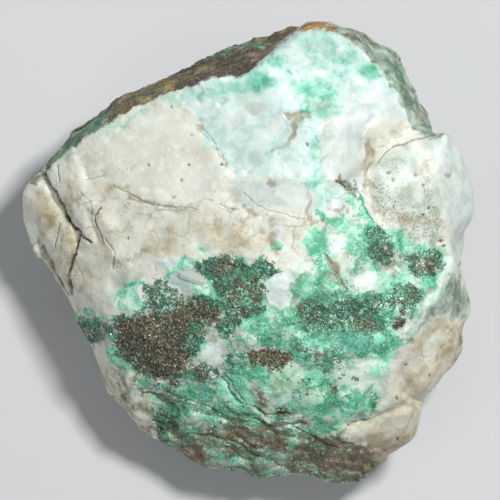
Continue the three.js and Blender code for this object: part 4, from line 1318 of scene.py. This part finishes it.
def dirty(tree, colour, field):
    """Small dark dots where dirt has settled."""
    dots = maths(tree, "MULTIPLY_ADD", attribute(tree, "dirt"), 0.2, field["Grit"])
    dots = between(tree, dots, 0.72, 0.82, 0, DIRT_STRENGTH)
    dots = maths(tree, "MULTIPLY", dots, between(tree, attribute(tree, "dirt"), 0.05, 0.4))
    return blended(tree, dots, colour, rgb(*DIRT))


def shaded_cracks_and_specks(tree, colour, field):
    """Painted shade in the cracks, and the dark specks in the same colour, darker in some places than in
    others.
    """
    split_open = maths(tree, "MAXIMUM", attribute(tree, "crack"), attribute(tree, "speck"))
    split_open = maths(tree, "MULTIPLY", split_open, between(tree, field["Blotch"], 0.3, 0.5, 0.45, 0.95))
    return blended(tree, split_open, colour, rgb(*CRACK_SHADE_AND_SPECK))


def gritty_normal(tree, field):
    """Fine grit that catches the light, most of it where the finish is gritty."""
    height = maths(tree, "MULTIPLY_ADD", field["Grit"], 0.6, maths(tree, "MULTIPLY", field["Between"], -0.5))
    height = maths(tree, "MULTIPLY", height, between(tree, attribute(tree, "gritty"), 0.1, 0.6, 0.25, 1.0))
    bump = put(tree, "ShaderNodeBump", None, Strength=BUMP_STRENGTH, Distance=BUMP_HEIGHT * MM, Height=height)
    return bump.outputs["Normal"]


def rock_material():
    """Quartz and malachite, letting a little light into the stone."""
    material = bpy.data.materials.new("quartz_and_malachite")
    material.use_nodes = True
    tree = material.node_tree
    surface = tree.nodes["Principled BSDF"]
    field = use(tree, MOTTLE)
    edge_inputs = {name: field[name] for name in ("Blotch", "Grit", "Grain")}
    colour, roughness = crusted(tree, field, edge_inputs)
    colour = soiled(tree, colour, edge_inputs)
    colour = stained_and_shaded_creases(tree, colour, field)
    colour = shaded_hollows(tree, colour)
    colour = dirty(tree, colour, field)
    colour = shaded_cracks_and_specks(tree, colour, field)
    tree.links.new(colour, surface.inputs["Base Color"])
    tree.links.new(roughness, surface.inputs["Roughness"])
    surface.inputs["Subsurface Weight"].default_value = LIGHT_LET_IN
    surface.inputs["Subsurface Radius"].default_value = (1.0, 1.0, 0.9)
    surface.inputs["Subsurface Scale"].default_value = LIGHT_REACH * MM
    tree.links.new(gritty_normal(tree, field), surface.inputs["Normal"])
    return material


# ---------------------------------------------------------------- the lump

points, faces = node_mesh(ROCK)
points, faces, cover = rock_points(points, faces)
druse = most(cover, {"dark": 1, "brown": 1})
flat = druse[faces].mean(axis=1) > 0.5
rock = mesh_object(ROCK + "_surface", points, faces, rock_material(), cover, flat)
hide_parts(ROCK)
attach(rock, "root")

# ---------------------------------------------------------------- crystals on the lump


def rock_crystal():
    """A short six-sided crystal with a pointed end, closed, 1 across and 2 high."""
    angles = np.arange(6) * math.pi / 3
    ring = np.stack([0.5 * np.cos(angles), 0.5 * np.sin(angles), np.full(6, -0.6)], axis=1)
    top = ring * (1, 1, 0) + (0, 0, 0.4)
    corners = np.concatenate([ring, top, ((0, 0, 1.0), (0, 0, -1.0))])
    following = (np.arange(6) + 1) % 6
    here = np.arange(6)
    sides = [np.stack([here, following, following + 6], 1), np.stack([here, following + 6, here + 6], 1)]
    upper_end = np.stack([here + 6, following + 6, np.full(6, 12)], 1)
    lower_end = np.stack([following, here, np.full(6, 13)], 1)
    return corners, np.concatenate([*sides, upper_end, lower_end])


def splinter():
    """A blunt eight-sided grain, closed, 1 across."""
    corners = 0.5 * np.array(((1, 0, 0), (0, 1, 0), (-1, 0, 0), (0, -1, 0), (0, 0, 1), (0, 0, -1)), float)
    turn = [(k, (k + 1) % 4) for k in range(4)]
    return corners, np.array([(a, b, 4) for a, b in turn] + [(b, a, 5) for a, b in turn])


def crystal_material(name, low, middle, high, roughness):
    """Crystals of three colours, each of its own shade and clouded inside."""
    material = bpy.data.materials.new(name)
    material.use_nodes = True
    tree = material.node_tree
    surface = tree.nodes["Principled BSDF"]
    field = use(tree, MOTTLE)
    clouds = maths(tree, "SUBTRACT", field["Grit"], 0.5)
    grain = maths(tree, "MULTIPLY_ADD", clouds, 0.5, attribute(tree, "shade"))
    colours = dict(Low=rgb(*low), Middle=rgb(*middle), High=rgb(*high))
    shade = use(tree, GRAIN_COLOURS, Grain=grain, **colours)["Color"]
    tree.links.new(shade, surface.inputs["Base Color"])
    surface.inputs["Roughness"].default_value = roughness
    return material


def leaning(normal, lean, random):
    """Three directions for each crystal, the last one its normal tilted at random by about lean."""
    tip = normal + lean * random.normal(size=normal.shape)
    tip /= np.linalg.norm(tip, axis=1, keepdims=True)
    side = np.cross(tip, random.normal(size=normal.shape))
    side /= np.linalg.norm(side, axis=1, keepdims=True)
    return np.stack([side, np.cross(tip, side), tip], axis=2)


def scattered(name, weight, shape, material, per_mm2, sizes, lean, sunk, seed):
    """Crystals strewn over the lump, joined into one piece that rides with it. About per_mm2 of them stand
    on a square millimetre where weight is 1, and each is pushed in by sunk times its size."""
    random = np.random.default_rng(seed)
    corners = points[faces]
    cross = np.cross(corners[:, 1] - corners[:, 0], corners[:, 2] - corners[:, 0])
    size_of_face = np.linalg.norm(cross, axis=1) / 2
    expected = size_of_face * weight[faces].mean(axis=1) * per_mm2
    chosen = np.repeat(np.arange(len(faces)), random.poisson(expected))
    share = random.dirichlet((1, 1, 1), len(chosen))
    place = (corners[chosen] * share[:, :, None]).sum(axis=1)
    normal = cross[chosen] / (2 * size_of_face[chosen, None])
    turns = leaning(normal, lean, random)
    model, model_faces = shape
    size = np.exp(random.uniform(math.log(sizes[0]), math.log(sizes[1]), len(chosen)))
    stretch = size[:, None] * random.uniform(0.7, 1.3, (len(chosen), 3))
    made = np.einsum("cij,cvj->cvi", turns, model[None] * stretch[:, None, :])
    made += (place - sunk * size[:, None] * normal)[:, None, :]
    low, high = np.array(cad_box[0]) / MM, np.array(cad_box[1]) / MM
    made = np.clip(made, low, high).reshape(-1, 3)
    offsets = len(model) * np.arange(len(chosen))[:, None, None]
    shade = np.repeat(random.random(len(chosen)), len(model))
    all_faces = (model_faces[None] + offsets).reshape(-1, 3)
    piece = mesh_object(name, made, all_faces, material, {"shade": shade}, np.ones(len(all_faces), bool))
    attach(piece, "root")


BLADE_ENDS = ((-14.4, -3.1), (-6.8, -6.0))
BLADE_WIDTH = 2.5
BLADE_THICKNESS = 0.9
BLADE_SUNK = 0.25
NEARBY = 0.9
UPPER_SIDE = 15  # all of the upper side near the blade is higher than this


def upper_height(x, y):
    """How high the lump's upper surface is at (x, y)."""
    far = np.hypot(points[:, 0] - x, points[:, 1] - y)
    return points[(far < NEARBY) & (points[:, 2] > UPPER_SIDE), 2].mean()


def add_blade():
    """One flat clear quartz crystal lying half sunk in the crust."""
    ends = [np.array((x, y, upper_height(x, y) - BLADE_SUNK)) for x, y in BLADE_ENDS]
    along = ends[1] - ends[0]
    length = np.linalg.norm(along)
    along /= length
    side = np.cross((0, 0, 1), along)
    side /= np.linalg.norm(side)
    model, model_faces = rock_crystal()
    model = model * (BLADE_WIDTH, BLADE_THICKNESS, length / 2)
    axes = np.stack([side, np.cross(along, side), along], axis=1)
    made = model @ axes.T + (ends[0] + ends[1]) / 2
    colours = ((160, 172, 160), (182, 194, 182), (200, 210, 199))
    clear = crystal_material("blade_quartz", *colours, roughness=0.3)
    shade = 0.6 + 0.3 * np.arange(len(made)) / len(made)
    flat = np.ones(len(model_faces), bool)
    blade = mesh_object("quartz_blade", made, model_faces, clear, {"shade": shade}, flat)
    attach(blade, "root")


def add_malachite_crystals(uncovered):
    """Dark green grains over the dark crust, and fewer over the green."""
    weight = uncovered * (1 - cover["brown"]) * most(cover, {"dark": 1, "green": 0.4}) ** 1.5
    colours = ((46, 84, 64), (84, 138, 110), (152, 208, 180))
    material = crystal_material("malachite_grains", *colours, roughness=0.34)
    scattered("malachite_crystals", weight, splinter(), material,
              per_mm2=14, sizes=(0.15, 0.44), lean=0.5, sunk=0.08, seed=5)


def add_brown_crystals(uncovered):
    """Brown grit over the brown crust, and a little of it on the dark wall."""
    on_wall = 0.08 * cover["wall"] * (1 - cover["verdigris"])
    weight = uncovered * np.maximum(cover["brown"] ** 1.5, on_wall)
    colours = ((54, 49, 36), (98, 91, 68), (156, 146, 118))
    material = crystal_material("brown_grit", *colours, roughness=0.34)
    scattered("brown_crystals", weight, splinter(), material,
              per_mm2=14, sizes=(0.18, 0.56), lean=0.6, sunk=0.08, seed=6)


def add_mint_crystals(uncovered):
    """Light green grains over the mint and bright crust."""
    weight = uncovered * most(cover, {"mint": 1, "bright": 1}) ** 2
    colours = ((100, 176, 144), (148, 212, 184), (210, 242, 228))
    material = crystal_material("mint_grains", *colours, roughness=0.4)
    scattered("mint_crystals", weight, splinter(), material,
              per_mm2=2.5, sizes=(0.15, 0.42), lean=0.6, sunk=0.1, seed=7)


def add_quartz_crystals():
    """Clear points standing among the druse."""
    weight = most(cover, {"dark": 1, "brown": 0.4})
    colours = ((130, 134, 116), (180, 186, 168), (226, 232, 222))
    material = crystal_material("quartz_points", *colours, roughness=0.12)
    scattered("quartz_crystals", weight, rock_crystal(), material,
              per_mm2=0.22, sizes=(0.16, 0.4), lean=0.5, sunk=0.0, seed=8)


def add_crystals():
    """All the crystals, most of them kept off pale crust, cracks, and the earth crust with its band of
    painted shade.
    """
    uncovered = (1 - most(cover, {"pale": 1, "chalk": 1})) * (1 - cover["crack"]) * (1 - 0.7 * cover["earth_and_shade"])
    add_malachite_crystals(uncovered)
    add_brown_crystals(uncovered)
    add_mint_crystals(uncovered)
    add_quartz_crystals()


add_crystals()
add_blade()

# ---------------------------------------------------------------- floor and light

FLOOR_SIZE = 6.0  # metres
FLOOR_COLOUR = (206, 207, 208)
FLOOR_ROUGHNESS = 0.9
LAMPS_AIM = (0, 0, 20)
SKY_COLOUR = (0.9, 0.93, 1.0, 1.0)
SKY_STRENGTH = 0.26


def add_floor():
    """A wide pale floor under the lump."""
    material = bpy.data.materials.new("pale_floor")
    material.use_nodes = True
    surface = material.node_tree.nodes["Principled BSDF"]
    surface.inputs["Base Color"].default_value = rgb(*FLOOR_COLOUR)
    surface.inputs["Roughness"].default_value = FLOOR_ROUGHNESS
    half = FLOOR_SIZE / 2 / MM
    corners = half * np.array(((-1, -1, 0), (1, -1, 0), (1, 1, 0), (-1, 1, 0)))
    floor = mesh_object("floor", corners, np.array(((0, 1, 2), (0, 2, 3))), material)


def add_lamp(name, place, size, power):
    """A square lamp, placed and sized in millimetres, with its power in watts."""
    data = bpy.data.lights.new(name, "AREA")
    data.size = size * MM
    data.energy = power
    lamp = bpy.data.objects.new(name, data)
    place = Vector(place) * MM
    lamp.location = place
    lamp.rotation_euler = (Vector(LAMPS_AIM) * MM - place).to_track_quat("-Z", "Y").to_euler()
    bpy.context.scene.collection.objects.link(lamp)


def add_light():
    """A small bright lamp to the north-east, a broad weak one to the south-west and a faint sky."""
    add_lamp("key", place=(290, 275, 800), size=130, power=7.0)
    add_lamp("fill", place=(-420, -300, 520), size=500, power=0.7)
    world = bpy.data.worlds.new("studio")
    world.use_nodes = True
    background = world.node_tree.nodes["Background"]
    background.inputs["Color"].default_value = SKY_COLOUR
    background.inputs["Strength"].default_value = SKY_STRENGTH
    bpy.context.scene.world = world
    bpy.context.scene.view_settings.view_transform = "Standard"


add_floor()
add_light()
